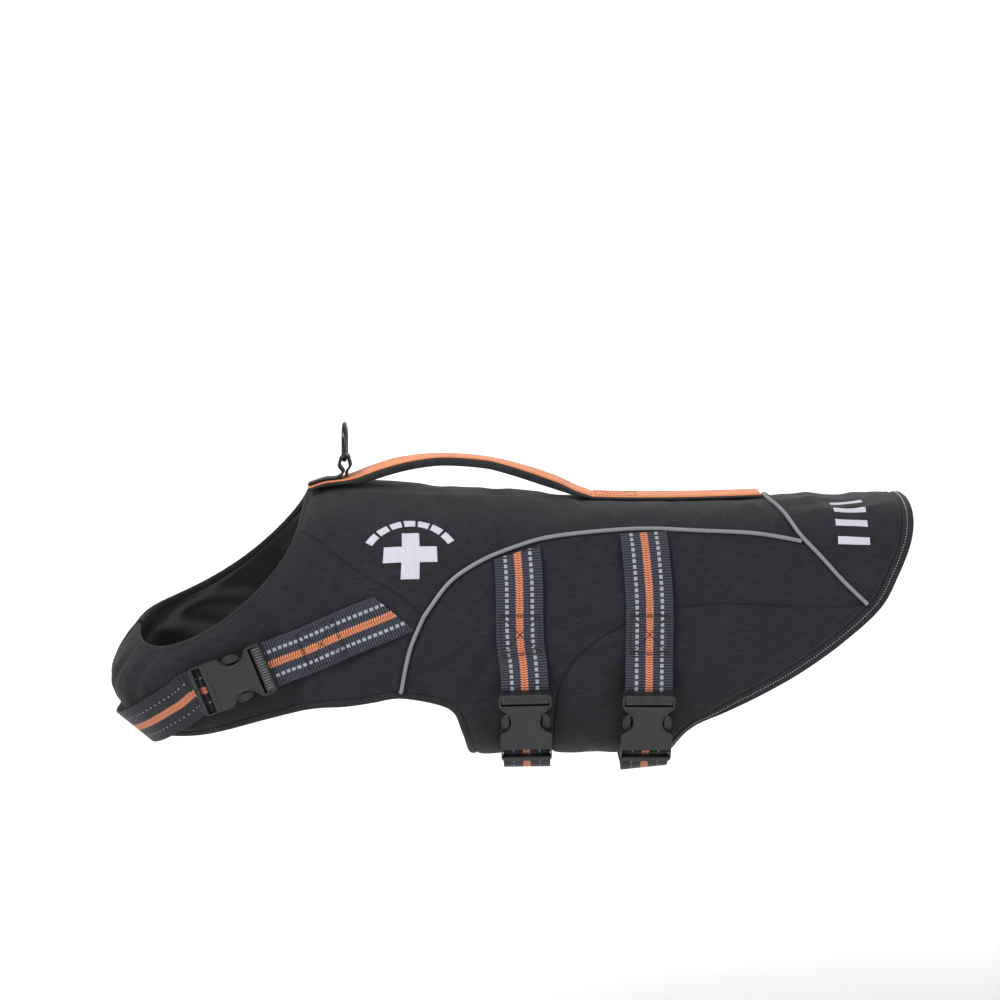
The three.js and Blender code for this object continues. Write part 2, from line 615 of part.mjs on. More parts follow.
// The webbing loop that holds the leash ring: a tab over the handle's front end, then a loop
function ringLoop() {
  const clear = RING_WIRE + 0.4;
  const outside = clear + LOOP_THICK;
  const [waist, spread] = [handleTop(RING_X) + 3.4, 5];
  const arc = (radius, from, to, steps) =>
    Array.from({ length: steps + 1 }, (_, i) => {
      const turn = from + ((to - from) * i) / steps;
      return new THREE.Vector2(RING_X + radius * Math.cos(turn), RING_BAR_Z + radius * Math.sin(turn));
    });
  const tabStart = -227.5;
  const under = [tabStart, -214, -203, RING_X + 3].map((x) => new THREE.Vector2(x, handleTop(x) + 0.4));
  const over = under.slice(0, 3).map((p) => new THREE.Vector2(p.x, p.y + 2));
  const shape = new THREE.Shape([
    ...under,
    new THREE.Vector2(RING_X + 4.5, waist),
    new THREE.Vector2(RING_X + spread + LOOP_THICK, (waist + RING_BAR_Z) / 2),
    ...arc(outside, 0, Math.PI, 8),
    new THREE.Vector2(RING_X - spread - LOOP_THICK, (waist + RING_BAR_Z) / 2),
    new THREE.Vector2(RING_X - 4.5, waist),
    ...backwards(over),
  ]);
  shape.holes.push(
    new THREE.Path([
      new THREE.Vector2(RING_X, waist + 0.8),
      new THREE.Vector2(RING_X - spread, (waist + RING_BAR_Z) / 2),
      ...arc(clear, Math.PI, 0, 8),
      new THREE.Vector2(RING_X + spread, (waist + RING_BAR_Z) / 2),
    ]),
  );
  return new THREE.ExtrudeGeometry(shape, { depth: LOOP_WIDTH, bevelEnabled: false })
    .rotateX(Math.PI / 2)
    .translate(0, LOOP_WIDTH / 2, 0);
}

// The wire of the leash ring: a straight bar closed by a round bow
function leashRing() {
  const bend = 5;
  const bow = RING_HALF;
  const line = [];
  const arc = (y, z, radius, from, to, steps) => {
    for (let i = 0; i <= steps; i++) {
      const turn = from + ((to - from) * i) / steps;
      line.push(new THREE.Vector3(RING_X, y + radius * Math.cos(turn), RING_BAR_Z + z + radius * Math.sin(turn)));
    }
  };
  arc(bow - bend, bend, bend, -Math.PI / 2, 0, 3);
  arc(0, RING_HEIGHT - bow, bow, 0, Math.PI, 12);
  arc(-bow + bend, bend, bend, Math.PI, 1.5 * Math.PI, 3);
  const sides = 8;
  return skin(
    line.map((point, i) => {
      const way = line[(i + 1) % line.length].clone().sub(line[(i + line.length - 1) % line.length]).normalize();
      const across = new THREE.Vector3(1, 0, 0);
      const up = way.clone().cross(across);
      return Array.from({ length: sides }, (_, k) => {
        const turn = (2 * Math.PI * k) / sides;
        return point
          .clone()
          .addScaledVector(across, RING_WIRE * Math.cos(turn))
          .addScaledVector(up, RING_WIRE * Math.sin(turn));
      });
    }),
    true,
  );
}

const finish = (color, roughness, metalness = 0) => new THREE.MeshStandardMaterial({ color, roughness, metalness });
const CANVAS = finish('#2b2a2d', 0.85);
const BINDING = finish('#3a3a3d', 0.8);
const PIPING = finish('#9c9c9e', 0.45);
const WEBBING = finish('#383945', 0.75);
const BRIGHT = finish('#f07f3c', 0.7);
const PLASTIC = finish('#35363a', 0.4);
const STEEL = finish('#8f9094', 0.25, 1);

const jacket = new THREE.Group();
function add(name, geometry, material, matrix) {
  const mesh = new THREE.Mesh(geometry, material);
  mesh.name = name;
  if (matrix) mesh.applyMatrix4(matrix);
  jacket.add(mesh);
  return mesh;
}

const left = cutSide('left');
const right = cutSide('right');
for (const [side, made] of Object.entries({ left, right })) {
  for (const [piece, geometry] of Object.entries(made.pieces)) add(`${piece}_${side}`, geometry, CANVAS);
  add(`low_binding_${side}`, binding(made.edges.low, made.edges.lowIn), BINDING);
  add(`piping_${side}`, piping(joined(backwards(made.pipingLow), made.pipingHigh).slice(0, -1)), PIPING);
}

add(
  'back_panel',
  panel(
    joined(left.shoulderSeam, left.pipingHigh),
    joined(right.shoulderSeam, right.pipingHigh),
    joined(left.topRim, backwards(right.topRim)),
    joined(backwards(left.tailTop), right.tailTop),
  ),
  CANVAS,
);
add(
  'rump_panel',
  panel(
    joined(backwards(left.tailSide), backwards(left.tailTop), right.tailTop, right.tailSide),
    joined(left.hemTail, backwards(right.hemTail)),
    left.hemCorner,
    right.hemCorner,
  ),
  CANVAS,
);
add(
  'neck_binding',
  binding(
    joined(left.edges.neck, backwards(right.edges.neck)),
    joined(left.edges.neckIn, backwards(right.edges.neckIn)),
  ),
  BINDING,
);
add(
  'hem_binding',
  binding(joined(left.edges.hem, backwards(right.edges.hem)), joined(left.edges.hemIn, backwards(right.edges.hemIn))),
  BINDING,
);
add(
  'piping_tail',
  piping(joined(backwards(left.tailSide), backwards(left.tailTop), right.tailTop, right.tailSide)),
  PIPING,
);

const grip = handle();
add('handle_pad', grip.pad, CANVAS);
add('handle_face', grip.face, BRIGHT);
const strip = backStrip();
add('back_strip_base', strip.base, CANVAS);
add('back_strip_face', strip.face, BRIGHT);
add('ring_loop', ringLoop(), BINDING);
add('leash_ring', leashRing(), STEEL);

const underBelly = (angle) => (angle < 140 ? 0 : 4 * THREE.MathUtils.smoothstep(240 - angle, 0, 50));
const straps = {
  neck: strap(NECK_STRAP, SHOULDER_SEAM, 102.4, 94, 118, () => 0),
  girth_front: strap(GIRTH_STRAPS.front, PIPING_HIGH, 122.5, 98, 164, underBelly),
  girth_rear: strap(GIRTH_STRAPS.rear, PIPING_HIGH, 123, 98, 164, underBelly),
};
for (const [name, { frame, sewn, free }] of Object.entries(straps)) {
  add(`${name}_strap_sewn`, sewn, WEBBING);
  add(`${name}_strap_free`, free, WEBBING);
  add(`${name}_buckle_socket`, buckleSocket(), PLASTIC, frame);
  add(`${name}_buckle_plug`, bucklePlug(), PLASTIC, frame);
}

export default jacket;
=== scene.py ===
# %% [markdown]
# # A dog life jacket, filled out as when it is worn
#
# The CAD model gives the jacket's real size and the place of every piece. This script dresses it: padded
# cloth that swells between its seams, woven webbing, stitching, moulded plastic and dark chrome.
# The first cell loads the CAD model. Its nodes stay where they are, and each new piece is built around them.

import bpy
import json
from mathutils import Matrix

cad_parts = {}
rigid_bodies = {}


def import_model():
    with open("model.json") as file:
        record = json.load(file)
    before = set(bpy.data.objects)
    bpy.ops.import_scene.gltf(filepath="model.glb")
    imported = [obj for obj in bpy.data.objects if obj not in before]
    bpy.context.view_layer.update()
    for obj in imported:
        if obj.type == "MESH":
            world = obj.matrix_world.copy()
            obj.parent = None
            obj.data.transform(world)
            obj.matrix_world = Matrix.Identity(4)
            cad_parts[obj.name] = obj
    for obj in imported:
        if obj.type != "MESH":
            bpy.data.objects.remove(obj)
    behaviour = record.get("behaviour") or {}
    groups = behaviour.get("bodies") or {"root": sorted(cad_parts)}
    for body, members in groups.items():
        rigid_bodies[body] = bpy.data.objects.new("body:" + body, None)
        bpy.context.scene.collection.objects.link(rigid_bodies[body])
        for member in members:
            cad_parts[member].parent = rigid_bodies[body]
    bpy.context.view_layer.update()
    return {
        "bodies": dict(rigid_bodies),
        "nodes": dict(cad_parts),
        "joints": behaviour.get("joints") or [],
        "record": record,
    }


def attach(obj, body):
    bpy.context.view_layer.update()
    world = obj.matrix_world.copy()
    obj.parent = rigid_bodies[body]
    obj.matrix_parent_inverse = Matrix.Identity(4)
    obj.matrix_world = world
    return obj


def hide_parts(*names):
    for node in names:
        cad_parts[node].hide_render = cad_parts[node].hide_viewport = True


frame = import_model()

import json
import math

import bmesh
import bpy
import numpy as np
from mathutils import Vector
from mathutils.bvhtree import BVHTree
from mathutils.kdtree import KDTree

MM = 0.001

# %% [markdown]
# ## The camera and the light
#
# The jacket is seen from its left side, a little from above, from about two metres away. A long lens keeps
# the near and far sides almost the same size. The floor curves up behind like a photographer's paper roll.
# Large soft lamps show a dark cloth best, because its form is read from broad, faint reflections.

# %% Camera
CAMERA_DISTANCE = 2.2
CAMERA_ELEVATION = math.radians(6)
CAMERA_TARGET = Vector((-0.069, 0, 0.004))
PIXEL_AT_TARGET = 0.83 * MM
FRAME_PIXELS = 1000

camera_data = bpy.data.cameras.new("camera")
camera_data.lens = camera_data.sensor_width * CAMERA_DISTANCE / (PIXEL_AT_TARGET * FRAME_PIXELS)
camera = bpy.data.objects.new("camera", camera_data)
bpy.context.collection.objects.link(camera)
away = Vector((0, -math.cos(CAMERA_ELEVATION), math.sin(CAMERA_ELEVATION)))
camera.location = CAMERA_TARGET + away * CAMERA_DISTANCE
camera.rotation_euler = (-away).to_track_quat("-Z", "Y").to_euler()
bpy.context.scene.camera = camera
print("lens", round(camera_data.lens, 1), "mm")

# %% [markdown]
# Two small functions serve every material in this file: one adds a node with its settings and links, and one
# starts a material with its plain values. The backdrop has a lamp of its own, so that the paper goes white
# while the dark cloth keeps its soft modelling. The view transform is Standard, which keeps the white clean.

# %% Backdrop and lamps
def linear(hex_colour):
    """Turns an sRGB colour, as in a paint program, into the linear values that shaders use."""
    parts = [int(hex_colour[i : i + 2], 16) / 255 for i in (1, 3, 5)]
    return (*(c / 12.92 if c <= 0.04045 else ((c + 0.055) / 1.055) ** 2.4 for c in parts), 1.0)


def node(tree, kind, values=(), **settings):
    """Adds a shader node. Each value is a number, a colour, or a node or output that feeds the input."""
    made = tree.nodes.new("ShaderNode" + kind)
    for name, setting in settings.items():
        setattr(made, name, setting)
    for key, value in values.items() if isinstance(values, dict) else enumerate(values):
        if isinstance(value, bpy.types.Node):
            value = next(output for output in value.outputs if output.enabled)
        if isinstance(value, bpy.types.NodeSocket):
            tree.links.new(value, made.inputs[key])
        else:
            made.inputs[key].default_value = value
    return made


def shader(name, colour, roughness, **more):
    """A new material and its main shader, with the plain values set on the shader's own sockets."""
    material = bpy.data.materials.new(name)
    material.use_nodes = True
    surface = material.node_tree.nodes["Principled BSDF"]
    plain = {"Base Color": linear(colour), "Roughness": roughness}
    plain.update({key.replace("_", " "): value for key, value in more.items()})
    for key, value in plain.items():
        surface.inputs[key].default_value = value
    return material, material.node_tree, surface


FLOOR_Z = -0.55
paper, _, _ = shader("backdrop_paper", "#f4f4f4", 0.9)
sweep = [(-4.0, 0.0), (2.0, 0.0), (2.6, 0.08), (3.0, 0.35), (3.2, 0.8), (3.2, 4.0)]
floor_mesh = bpy.data.meshes.new("backdrop")
floor_mesh.from_pydata(
    [(x, y, FLOOR_Z + z) for y, z in sweep for x in (-6.0, 6.0)],
    [],
    [(2 * i, 2 * i + 1, 2 * i + 3, 2 * i + 2) for i in range(len(sweep) - 1)],
)
floor = bpy.data.objects.new("backdrop", floor_mesh)
bpy.context.collection.objects.link(floor)
floor_mesh.materials.append(paper)
floor_mesh.shade_smooth()

bpy.context.scene.view_settings.view_transform = "Standard"

world = bpy.data.worlds.new("studio")
world.use_nodes = True
world.node_tree.nodes["Background"].inputs["Color"].default_value = (1, 1, 1, 1)
world.node_tree.nodes["Background"].inputs["Strength"].default_value = 0.62
bpy.context.scene.world = world


def softbox(name, place, size, power, aim=CAMERA_TARGET):
    """A square soft lamp that looks at a place, the jacket unless another is given."""
    data = bpy.data.lights.new(name, "AREA")
    data.energy, data.size = power, size
    lamp = bpy.data.objects.new(name, data)
    bpy.context.collection.objects.link(lamp)
    lamp.location = place
    lamp.rotation_euler = (Vector(aim) - Vector(place)).to_track_quat("-Z", "Y").to_euler()


softbox("key_lamp", (-1.6, -1.5, 1.5), 1.0, 52)
softbox("fill_lamp", (1.7, -1.7, 0.6), 1.6, 20)
softbox("top_lamp", (0.2, 0.9, 2.0), 1.6, 11)
softbox("backdrop_lamp", (0, 1.7, 1.4), 1.8, 26, aim=(0, 3.2, 0.3))

# %% [markdown]
# ## The form under the cloth
#
# A dog's trunk and neck can be described by rings. Each ring leans from a point on the back to a point under
# the belly, and the rings fan out towards the neck edge. A place on the cloth is then just two numbers: the
# station along the back and the angle round from the spine. The same table is behind the CAD model, so cloth
# that is built here lies exactly where the solids are.

# %% The rings
RING_COLUMNS = "station topX topZ lowX lowZ halfWidth setBack roll".split()
RINGS = np.array([
    [0, -232, 6, -370, -97, 80, 24, 0.19],
    [10, -222, 11, -391, -129, 84, 21, 0.17],
    [22, -210, 14, -383, -159, 86, 18, 0.14],
    [40, -192, 16, -351, -187, 87, 14, 0.11],
    [62, -170, 15, -298, -203, 88, 11, 0.09],
    [90, -142, 14, -228, -207, 89, 7, 0.06],
    [125, -107, 12, -160, -206, 91, 4, 0.03],
    [170, -62, 10, -82, -204, 92, 1, 0.01],
    [232, 0, 5, 0, -203, 92, 0, 0],
    [300, 68, 4, 68, -202, 90, 0, 0],
    [380, 148, 6, 148, -190, 85, 0, 0],
    [450, 218, 8, 218, -168, 78, 0, 0],
    [520, 288, 11, 288, -140, 70, 0, 0],
], float)
SQUARENESS = 0.055


def smooth_through(knots, values, where):
    """Reads rows of values at places between their knots, along smooth curves."""
    span = np.diff(knots)
    slope = np.diff(values, axis=0) / span[:, None]
    inner = (slope[:-1] * span[1:, None] + slope[1:] * span[:-1, None]) / (span[:-1] + span[1:])[:, None]
    tangent = np.vstack([slope[:1], inner, slope[-1:]])
    i = np.clip(np.searchsorted(knots, where, "right") - 1, 0, len(knots) - 2)
    h = span[i][..., None]
    t = ((where - knots[i]) / span[i])[..., None]
    start = (1 + 2 * t) * (1 - t) ** 2 * values[i] + t * (1 - t) ** 2 * h * tangent[i]
    end = t * t * (3 - 2 * t) * values[i + 1] + t * t * (t - 1) * h * tangent[i + 1]
    return start + end


def ring_values(station):
    """Every column of the rings at the stations, each along a smooth curve."""
    return dict(zip(RING_COLUMNS, np.moveaxis(smooth_through(RINGS[:, 0], RINGS, station), -1, 0)))


def form(line):
    """Points on the form, in metres, for an array of (station, angle). Positive angles are on the left."""
    station, turn = line[..., 0], np.radians(line[..., 1])
    ring = ring_values(station)
    lean_x, lean_z = ring["lowX"] - ring["topX"], ring["lowZ"] - ring["topZ"]
    across = (np.sin(turn) + SQUARENESS * np.sin(3 * turn)) / (1 - SQUARENESS)
    down = 0.5 - 0.5 * (np.cos(turn) - SQUARENESS * np.cos(3 * turn)) / (1 - SQUARENESS)
    out = ring["halfWidth"] * across
    bow = ring["setBack"] * np.sin(turn) ** 2 / np.hypot(lean_x, lean_z)
    x = ring["topX"] + lean_x * down - lean_z * bow
    z = ring["topZ"] + lean_z * down + lean_x * bow - ring["roll"] * out
    return np.stack([x, -out, z], -1) * MM


def unit(vectors):
    return vectors / np.maximum(np.linalg.norm(vectors, axis=-1, keepdims=True), 1e-12)


def slopes(line):
    """The directions along and round the form, and its outward normal."""
    step = np.array([0.5, 0.0])
    turn = np.array([0.0, 0.5])
    along = form(line + step) - form(line - step)
    around = form(line + turn) - form(line - turn)
    return along, around, unit(np.cross(around, along))


def raised(line, height):
    """Points on the form, moved out by a height in metres."""
    return form(line) + slopes(line)[2] * np.asarray(height)[..., None]


# %% [markdown]
# ## Lines on the form
#
# Seams and edges are drawn as a few places with a smooth curve through them, as a tailor draws with a bent
# ruler. They are given for the left side, and the right side mirrors them.

# %% Seams and edges
CLOSURE = 177.5
SHOULDER_SEAM = [[0, 36], [22, 44], [44, 53], [71, 63], [101, 73], [121, 81]]
PIPING_LOW = [[121, 81], [118, 90], [118, 98], [120, 111]]
PIPING_HIGH = [
    [121, 81], [133, 69], [152, 61], [174, 55], [204, 48], [243, 43], [283, 41],
    [324, 43], [364, 46], [390, 50], [410, 54],
]
TAIL_SIDE = [[410, 54], [418, 60], [436, 73], [458, 86.5]]
TAIL_TOP = [[381, 0], [385, 15], [393, 31], [402, 46], [410, 54]]
CHEST_SEAM = [[0, 79], [20, 81], [40, 86], [57, 95], [70, 105], [76, 113.5]]
CHEST_EDGE_LEFT = [[33, CLOSURE], [36, 160], [40, 144], [49, 131], [61, 119.5], [76, 113.5]]
CHEST_EDGE_RIGHT = [[45, CLOSURE], [43, 160], [43, 144], [51, 130], [62, 119], [76, 113.5]]
ARM_EDGE = [[76, 113.5], [93, 113], [106, 112], [120, 111]]
BELLY_FRONT = [[120, 111], [140, 114.5], [150, 119], [155, 128], [159, 140], [162, 160], [163, CLOSURE]]
SIDE_SEAM = [
    [211, CLOSURE], [210, 148], [210, 118], [215, 105], [231, 94], [260, 85], [297, 79],
    [339, 78], [387, 81], [430, 85], [458, 86.5],
]
HEM_LOW = [
    [302, CLOSURE], [304, 160], [309, 141], [321, 130], [344, 124], [376, 117],
    [408, 110], [441, 101], [470, 90],
]
HEM_TAIL = [[470, 90], [484, 77], [494, 62], [498, 45], [498, 20], [497, 0]]
STRAPS = {
    "neck": [
        [101.5, 79.3], [94, 81], [75, 85.5], [60, 91], [49, 96], [41, 101.5], [34, 108],
        [30, 120], [29, 143], [31, 180],
    ],
    "girth_front": [
        [179, 57], [182, 70], [185, 90], [189, 101], [190, 109], [192, 126], [194, 160], [194, 180],
    ],
    "girth_rear": [
        [278, 44], [280, 59], [282, 75], [282, 90], [281, 109], [280, 126], [280, 160], [280, 180],
    ],
}


def curved(rows, samples=40):
    """A dense smooth curve through rows of numbers."""
    rows = np.asarray(rows, float)
    ends = np.vstack([rows[:1], rows, rows[-1:]])
    t = np.linspace(0, 1, samples, endpoint=False)[:, None]
    parts = []
    for p0, p1, p2, p3 in zip(ends, ends[1:], ends[2:], ends[3:]):
        v0, v1 = (p2 - p0) / 2, (p3 - p1) / 2
        parts.append((2 * p1 - 2 * p2 + v0 + v1) * t**3 + (3 * p2 - 3 * p1 - 2 * v0 - v1) * t**2 + v0 * t + p1)
    return np.vstack([*parts, rows[-1:]])


def cut_in_parts(first, *others, steps):
    """One smooth curve through several lists of rows that follow on each other, cut evenly in each part."""
    rows = joined(*(np.asarray(part, float) for part in (first, *others)))
    dense_curve, parts, start = curved(rows), [], 0
    for part, count in zip((first, *others), steps):
        end = start + (len(part) - 1) * 40
        parts.append(spaced(dense_curve[start : end + 1], count))
        start = end
    return joined(*parts)


def travelled(points):
    """The distance from the start of a path to each of its points."""
    return np.concatenate([[0], np.cumsum(np.linalg.norm(np.diff(points, axis=0), axis=1))])


def spaced(points, steps):
    """The same curve cut into equal steps."""
    length = travelled(points)
    at = np.linspace(0, length[-1], steps + 1)
    return np.stack([np.interp(at, length, column) for column in points.T], -1)


def traced(rows, steps, start=None, end=None):
    """A line on the form through rows of (station, angle), with its ends moved to meet other lines."""
    line = spaced(curved(rows), steps)
    blend = np.linspace(0, 1, steps + 1)[:, None] * 8
    if start is not None:
        line += (start - line[0]) * np.clip(1 - blend, 0, 1)
    if end is not None:
        line += (end - line[-1]) * np.clip(1 - blend[::-1], 0, 1)
    return line


def joined(*lines):
    return np.vstack([lines[0], *(line[1:] for line in lines[1:])])


def as_step(move, along, around):
    """Turns a small move in space into a step in station and angle."""
    dot = lambda a, b: np.sum(a * b, -1)
    aa, ab, bb = dot(along, along), dot(along, around), dot(around, around)
    pa, pb = dot(move, along), dot(move, around)
    det = aa * bb - ab * ab
    return np.stack([(pa * bb - pb * ab) / det, (pb * aa - pa * ab) / det], -1)


def beside(line, distance):
    """The line that runs at a distance in metres to one side of another, on the form."""
    along, around, normal = slopes(line)
    aside = np.cross(normal, unit(np.gradient(form(line), axis=0))) * np.asarray(distance)[..., None]
    return line + as_step(aside, along, around)


# %% [markdown]
# ## From lines to cloth
#
# Four lines enclose a panel. Blending each line into the one opposite fills the panel with an even grid, as
# threads fill a loom. The grid also needs flat coordinates, in metres, so that the weave keeps one size all
# over: distances along the back and round the body serve for that.

# %% Grids and flat coordinates
STATIONS = np.arange(-12, 533, 4.0)
ANGLES = np.arange(-186, 187, 3.0)
_mesh = form(np.stack(np.meshgrid(STATIONS, ANGLES, indexing="ij"), -1))
_along = np.linalg.norm(np.diff(_mesh, axis=0), axis=-1)
_around = np.linalg.norm(np.diff(_mesh, axis=1), axis=-1)
FLAT_U = np.vstack([np.zeros(len(ANGLES)), np.cumsum(_along, 0)])
FLAT_V = np.hstack([np.zeros((len(STATIONS), 1)), np.cumsum(_around, 1)])
FLAT_V -= FLAT_V[:, len(ANGLES) // 2][:, None]


def flat(line):
    """Flat coordinates in metres of places on the form."""
    i = np.clip((line[..., 0] - STATIONS[0]) / 4, 0, len(STATIONS) - 1.001)
    j = np.clip((line[..., 1] - ANGLES[0]) / 3, 0, len(ANGLES) - 1.001)
    i0, j0 = i.astype(int), j.astype(int)
    a, b = i - i0, j - j0
    pick = lambda grid: (
        grid[i0, j0] * (1 - a) * (1 - b) + grid[i0 + 1, j0] * a * (1 - b)
        + grid[i0, j0 + 1] * (1 - a) * b + grid[i0 + 1, j0 + 1] * a * b
    )
    return np.stack([pick(FLAT_U), pick(FLAT_V)], -1)


def make(name, points, faces, uvs, materials, kinds=None, body="jacket"):
    """A mesh object that rides on a CAD body. kinds gives the material number of each face."""
    mesh = bpy.data.meshes.new(name)
    mesh.from_pydata([tuple(p) for p in points], [], [tuple(int(k) for k in f) for f in faces])
    for material in materials:
        mesh.materials.append(material)
    if kinds is not None:
        mesh.polygons.foreach_set("material_index", np.asarray(kinds, np.int32))
    layer = mesh.uv_layers.new(name="Weave")
    corners = np.empty(len(mesh.loops), np.int32)
    mesh.loops.foreach_get("vertex_index", corners)
    layer.data.foreach_set("uv", np.asarray(uvs, np.float32)[corners].ravel())
    work = bmesh.new()
    work.from_mesh(mesh)
    bmesh.ops.recalc_face_normals(work, faces=work.faces)
    work.to_mesh(mesh)
    work.free()
    mesh.shade_smooth()
    mesh.set_sharp_from_angle(angle=math.radians(50))
    made = bpy.data.objects.new(name, mesh)
    bpy.context.collection.objects.link(made)
    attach(made, body)
    return made


def smoothstep(t):
    t = np.clip(t, 0, 1)
    return t * t * (3 - 2 * t)


def ripples(uv, size, seed, waves=14):
    """Smooth uneven ripples of about a given size in metres, between -1 and 1. The seed fixes them."""
    random = np.random.default_rng(seed)
    total = np.zeros(uv.shape[:-1])
    for _ in range(waves):
        way = random.uniform(0, 2 * math.pi)
        length = size * random.uniform(0.7, 1.7)
        wave = (uv[..., 0] * math.cos(way) + uv[..., 1] * math.sin(way)) * 2 * math.pi / length
        total += np.sin(wave + random.uniform(0, 2 * math.pi))
    return total / math.sqrt(waves)

# %% [markdown]
# ## The cut of one side
#
# Here the seams and edges become the pieces of a sewing pattern. Each edge also has an inner line, because a
# narrow binding covers the last few millimetres and the panels stop where it begins. Both sides use the same
# lines, mirrored. Only the chest flap's overlap differs a little from left to right.

# %% The lines of both sides
STEPS = dict(shoulder=6, piping_low=7, piping_high=12, tail=6, chest=8, chest_seam=4, rim=3, belly=5, side=24)
FINE = 8
NECK_BINDING, LOW_BINDING, HEM_BINDING = 5 * MM, 6 * MM, 9 * MM


def side_lines(turn):
    """Every seam and edge of one side: turn is 1 for the left side and -1 for the right."""
    of = lambda rows: np.array(rows, float) * [1, turn]
    n = {key: steps * FINE for key, steps in STEPS.items()}
    rim = lambda a, b, steps: np.stack([np.zeros(steps + 1), turn * np.linspace(a, b, steps + 1)], -1)
    neck = joined(rim(CLOSURE, 79, n["chest"]), rim(79, 36, n["rim"]), rim(36, 0, n["tail"]))
    chest_edge = CHEST_EDGE_LEFT if turn > 0 else CHEST_EDGE_RIGHT
    low_steps = [n["chest"], n["shoulder"], n["belly"]]
    low = cut_in_parts(of(chest_edge), of(ARM_EDGE), of(BELLY_FRONT), steps=low_steps)
    hem = cut_in_parts(of(HEM_LOW), of(HEM_TAIL), steps=[n["side"], 2 * n["tail"]])
    hem_width = np.where(np.arange(len(hem)) < 9 * FINE, LOW_BINDING, HEM_BINDING)
    soft = np.ones(25) / 25
    hem_width = np.convolve(np.pad(hem_width, 12, "edge"), soft, "valid")
    line = dict(neck=neck, low=low, hem=hem)
    line["neck_in"] = beside(neck, -NECK_BINDING * turn)
    line["low_in"] = beside(low, LOW_BINDING * turn)
    line["hem_in"] = beside(hem, hem_width * turn)

    a, b = n["chest"], n["chest"] + n["rim"]
    line["chest_rim"] = line["neck_in"][: a + 1]
    line["shoulder_rim"] = line["neck_in"][a : b + 1]
    line["top_rim"] = line["neck_in"][b:]
    c, d = n["chest"], n["chest"] + n["shoulder"]
    line["chest_low"], line["arm_low"] = line["low_in"][: c + 1], line["low_in"][c : d + 1]
    line["belly_front"] = line["low_in"][d:]
    line["hem_low"], line["hem_tail"] = line["hem_in"][: n["side"] + 1], line["hem_in"][n["side"] :]

    line["shoulder_seam"] = traced(of(SHOULDER_SEAM), n["shoulder"], line["top_rim"][0])
    meeting = line["shoulder_seam"][-1]
    line["chest_seam"] = traced(of(CHEST_SEAM), n["chest_seam"], line["shoulder_rim"][0], line["arm_low"][0])
    line["piping_low"] = traced(of(PIPING_LOW), n["piping_low"], meeting, line["arm_low"][-1])
    line["piping_high"] = traced(of(PIPING_HIGH), n["piping_high"], meeting)
    corner = line["piping_high"][-1]
    line["tail_side"] = traced(of(TAIL_SIDE), n["tail"], corner)
    line["tail_top"] = traced(of(TAIL_TOP), n["tail"], None, corner)
    line["side_seam"] = traced(of(SIDE_SEAM), n["side"], None, line["tail_side"][-1])
    straight = lambda p, q, steps: np.linspace(p, q, steps * FINE + 1)
    line["hem_corner"] = straight(line["tail_side"][-1], line["hem_low"][-1], 4)
    line["chest_closure"] = straight(line["chest_rim"][0], line["chest_low"][0], STEPS["chest_seam"])
    line["belly_closure"] = straight(line["belly_front"][-1], line["side_seam"][0], STEPS["tail"])
    line["low_closure"] = straight(line["side_seam"][0], line["hem_low"][0], 4)
    return line


LEFT, RIGHT = side_lines(1), side_lines(-1)
print("hem length of one side:", round(float(travelled(form(LEFT["hem"]))[-1]), 3), "m")


def outline_of(line):
    """The four lines round each panel of one side: top, bottom, left and right."""
    back = lambda name: line[name][::-1]
    return {
        "chest": [line["chest_rim"], line["chest_low"], line["chest_closure"], line["chest_seam"]],
        "shoulder": [
            line["shoulder_seam"], line["arm_low"],
            joined(back("shoulder_rim"), line["chest_seam"]), line["piping_low"],
        ],
        "side_upper": [
            joined(back("belly_front"), back("piping_low"), line["piping_high"]), line["side_seam"],
            line["belly_closure"], line["tail_side"],
        ],
        "side_lower": [line["side_seam"], line["hem_low"], line["low_closure"], line["hem_corner"]],
    }


PANELS = {}
for side, line in (("left", LEFT), ("right", RIGHT)):
    for piece, lines in outline_of(line).items():
        PANELS[f"{piece}_{side}"] = lines
PANELS["back_panel"] = [
    joined(LEFT["shoulder_seam"], LEFT["piping_high"]), joined(RIGHT["shoulder_seam"], RIGHT["piping_high"]),
    joined(LEFT["top_rim"], RIGHT["top_rim"][::-1]), joined(LEFT["tail_top"][::-1], RIGHT["tail_top"]),
]
PANELS["rump_panel"] = [
    joined(LEFT["tail_side"][::-1], LEFT["tail_top"][::-1], RIGHT["tail_top"], RIGHT["tail_side"]),
    joined(LEFT["hem_tail"], RIGHT["hem_tail"][::-1]), LEFT["hem_corner"], RIGHT["hem_corner"],
]
print(len(PANELS), "padded panels")

# %% [markdown]
# ## The cloth
#
# The outside is polyester oxford: a plain weave of round, slightly shiny threads, about 0.6 mm apart. The weave
# is a product of two waves, one for each thread direction, which gives the small alternating bumps of over
# and under. From the camera's distance such threads are finer than a dot of the picture. What still shows is
# that some threads are thicker than others, so streaks along both directions are drawn three times as coarse
# as the threads. The lining is a smooth coated nylon, so it is darker and glossier.

# %% Oxford cloth and nylon lining
THREAD = 0.6 * MM
STREAK = 1.8 * MM


def flat_place(tree):
    """The two flat coordinates, in metres, as separate numbers."""
    return node(tree, "SeparateXYZ", [node(tree, "UVMap", uv_map="Weave")]).outputs


def plain_weave(tree, pitch):
    """Over and under bumps of a plain weave, from 0 to 1."""
    u, v = flat_place(tree)[:2]
    turns = [node(tree, "Math", [axis, math.pi / pitch], operation="MULTIPLY") for axis in (u, v)]
    waves = [node(tree, "Math", [turn], operation="SINE") for turn in turns]
    product = node(tree, "Math", waves, operation="MULTIPLY")
    return node(tree, "Math", [product, 0.5, 0.5], operation="MULTIPLY_ADD")


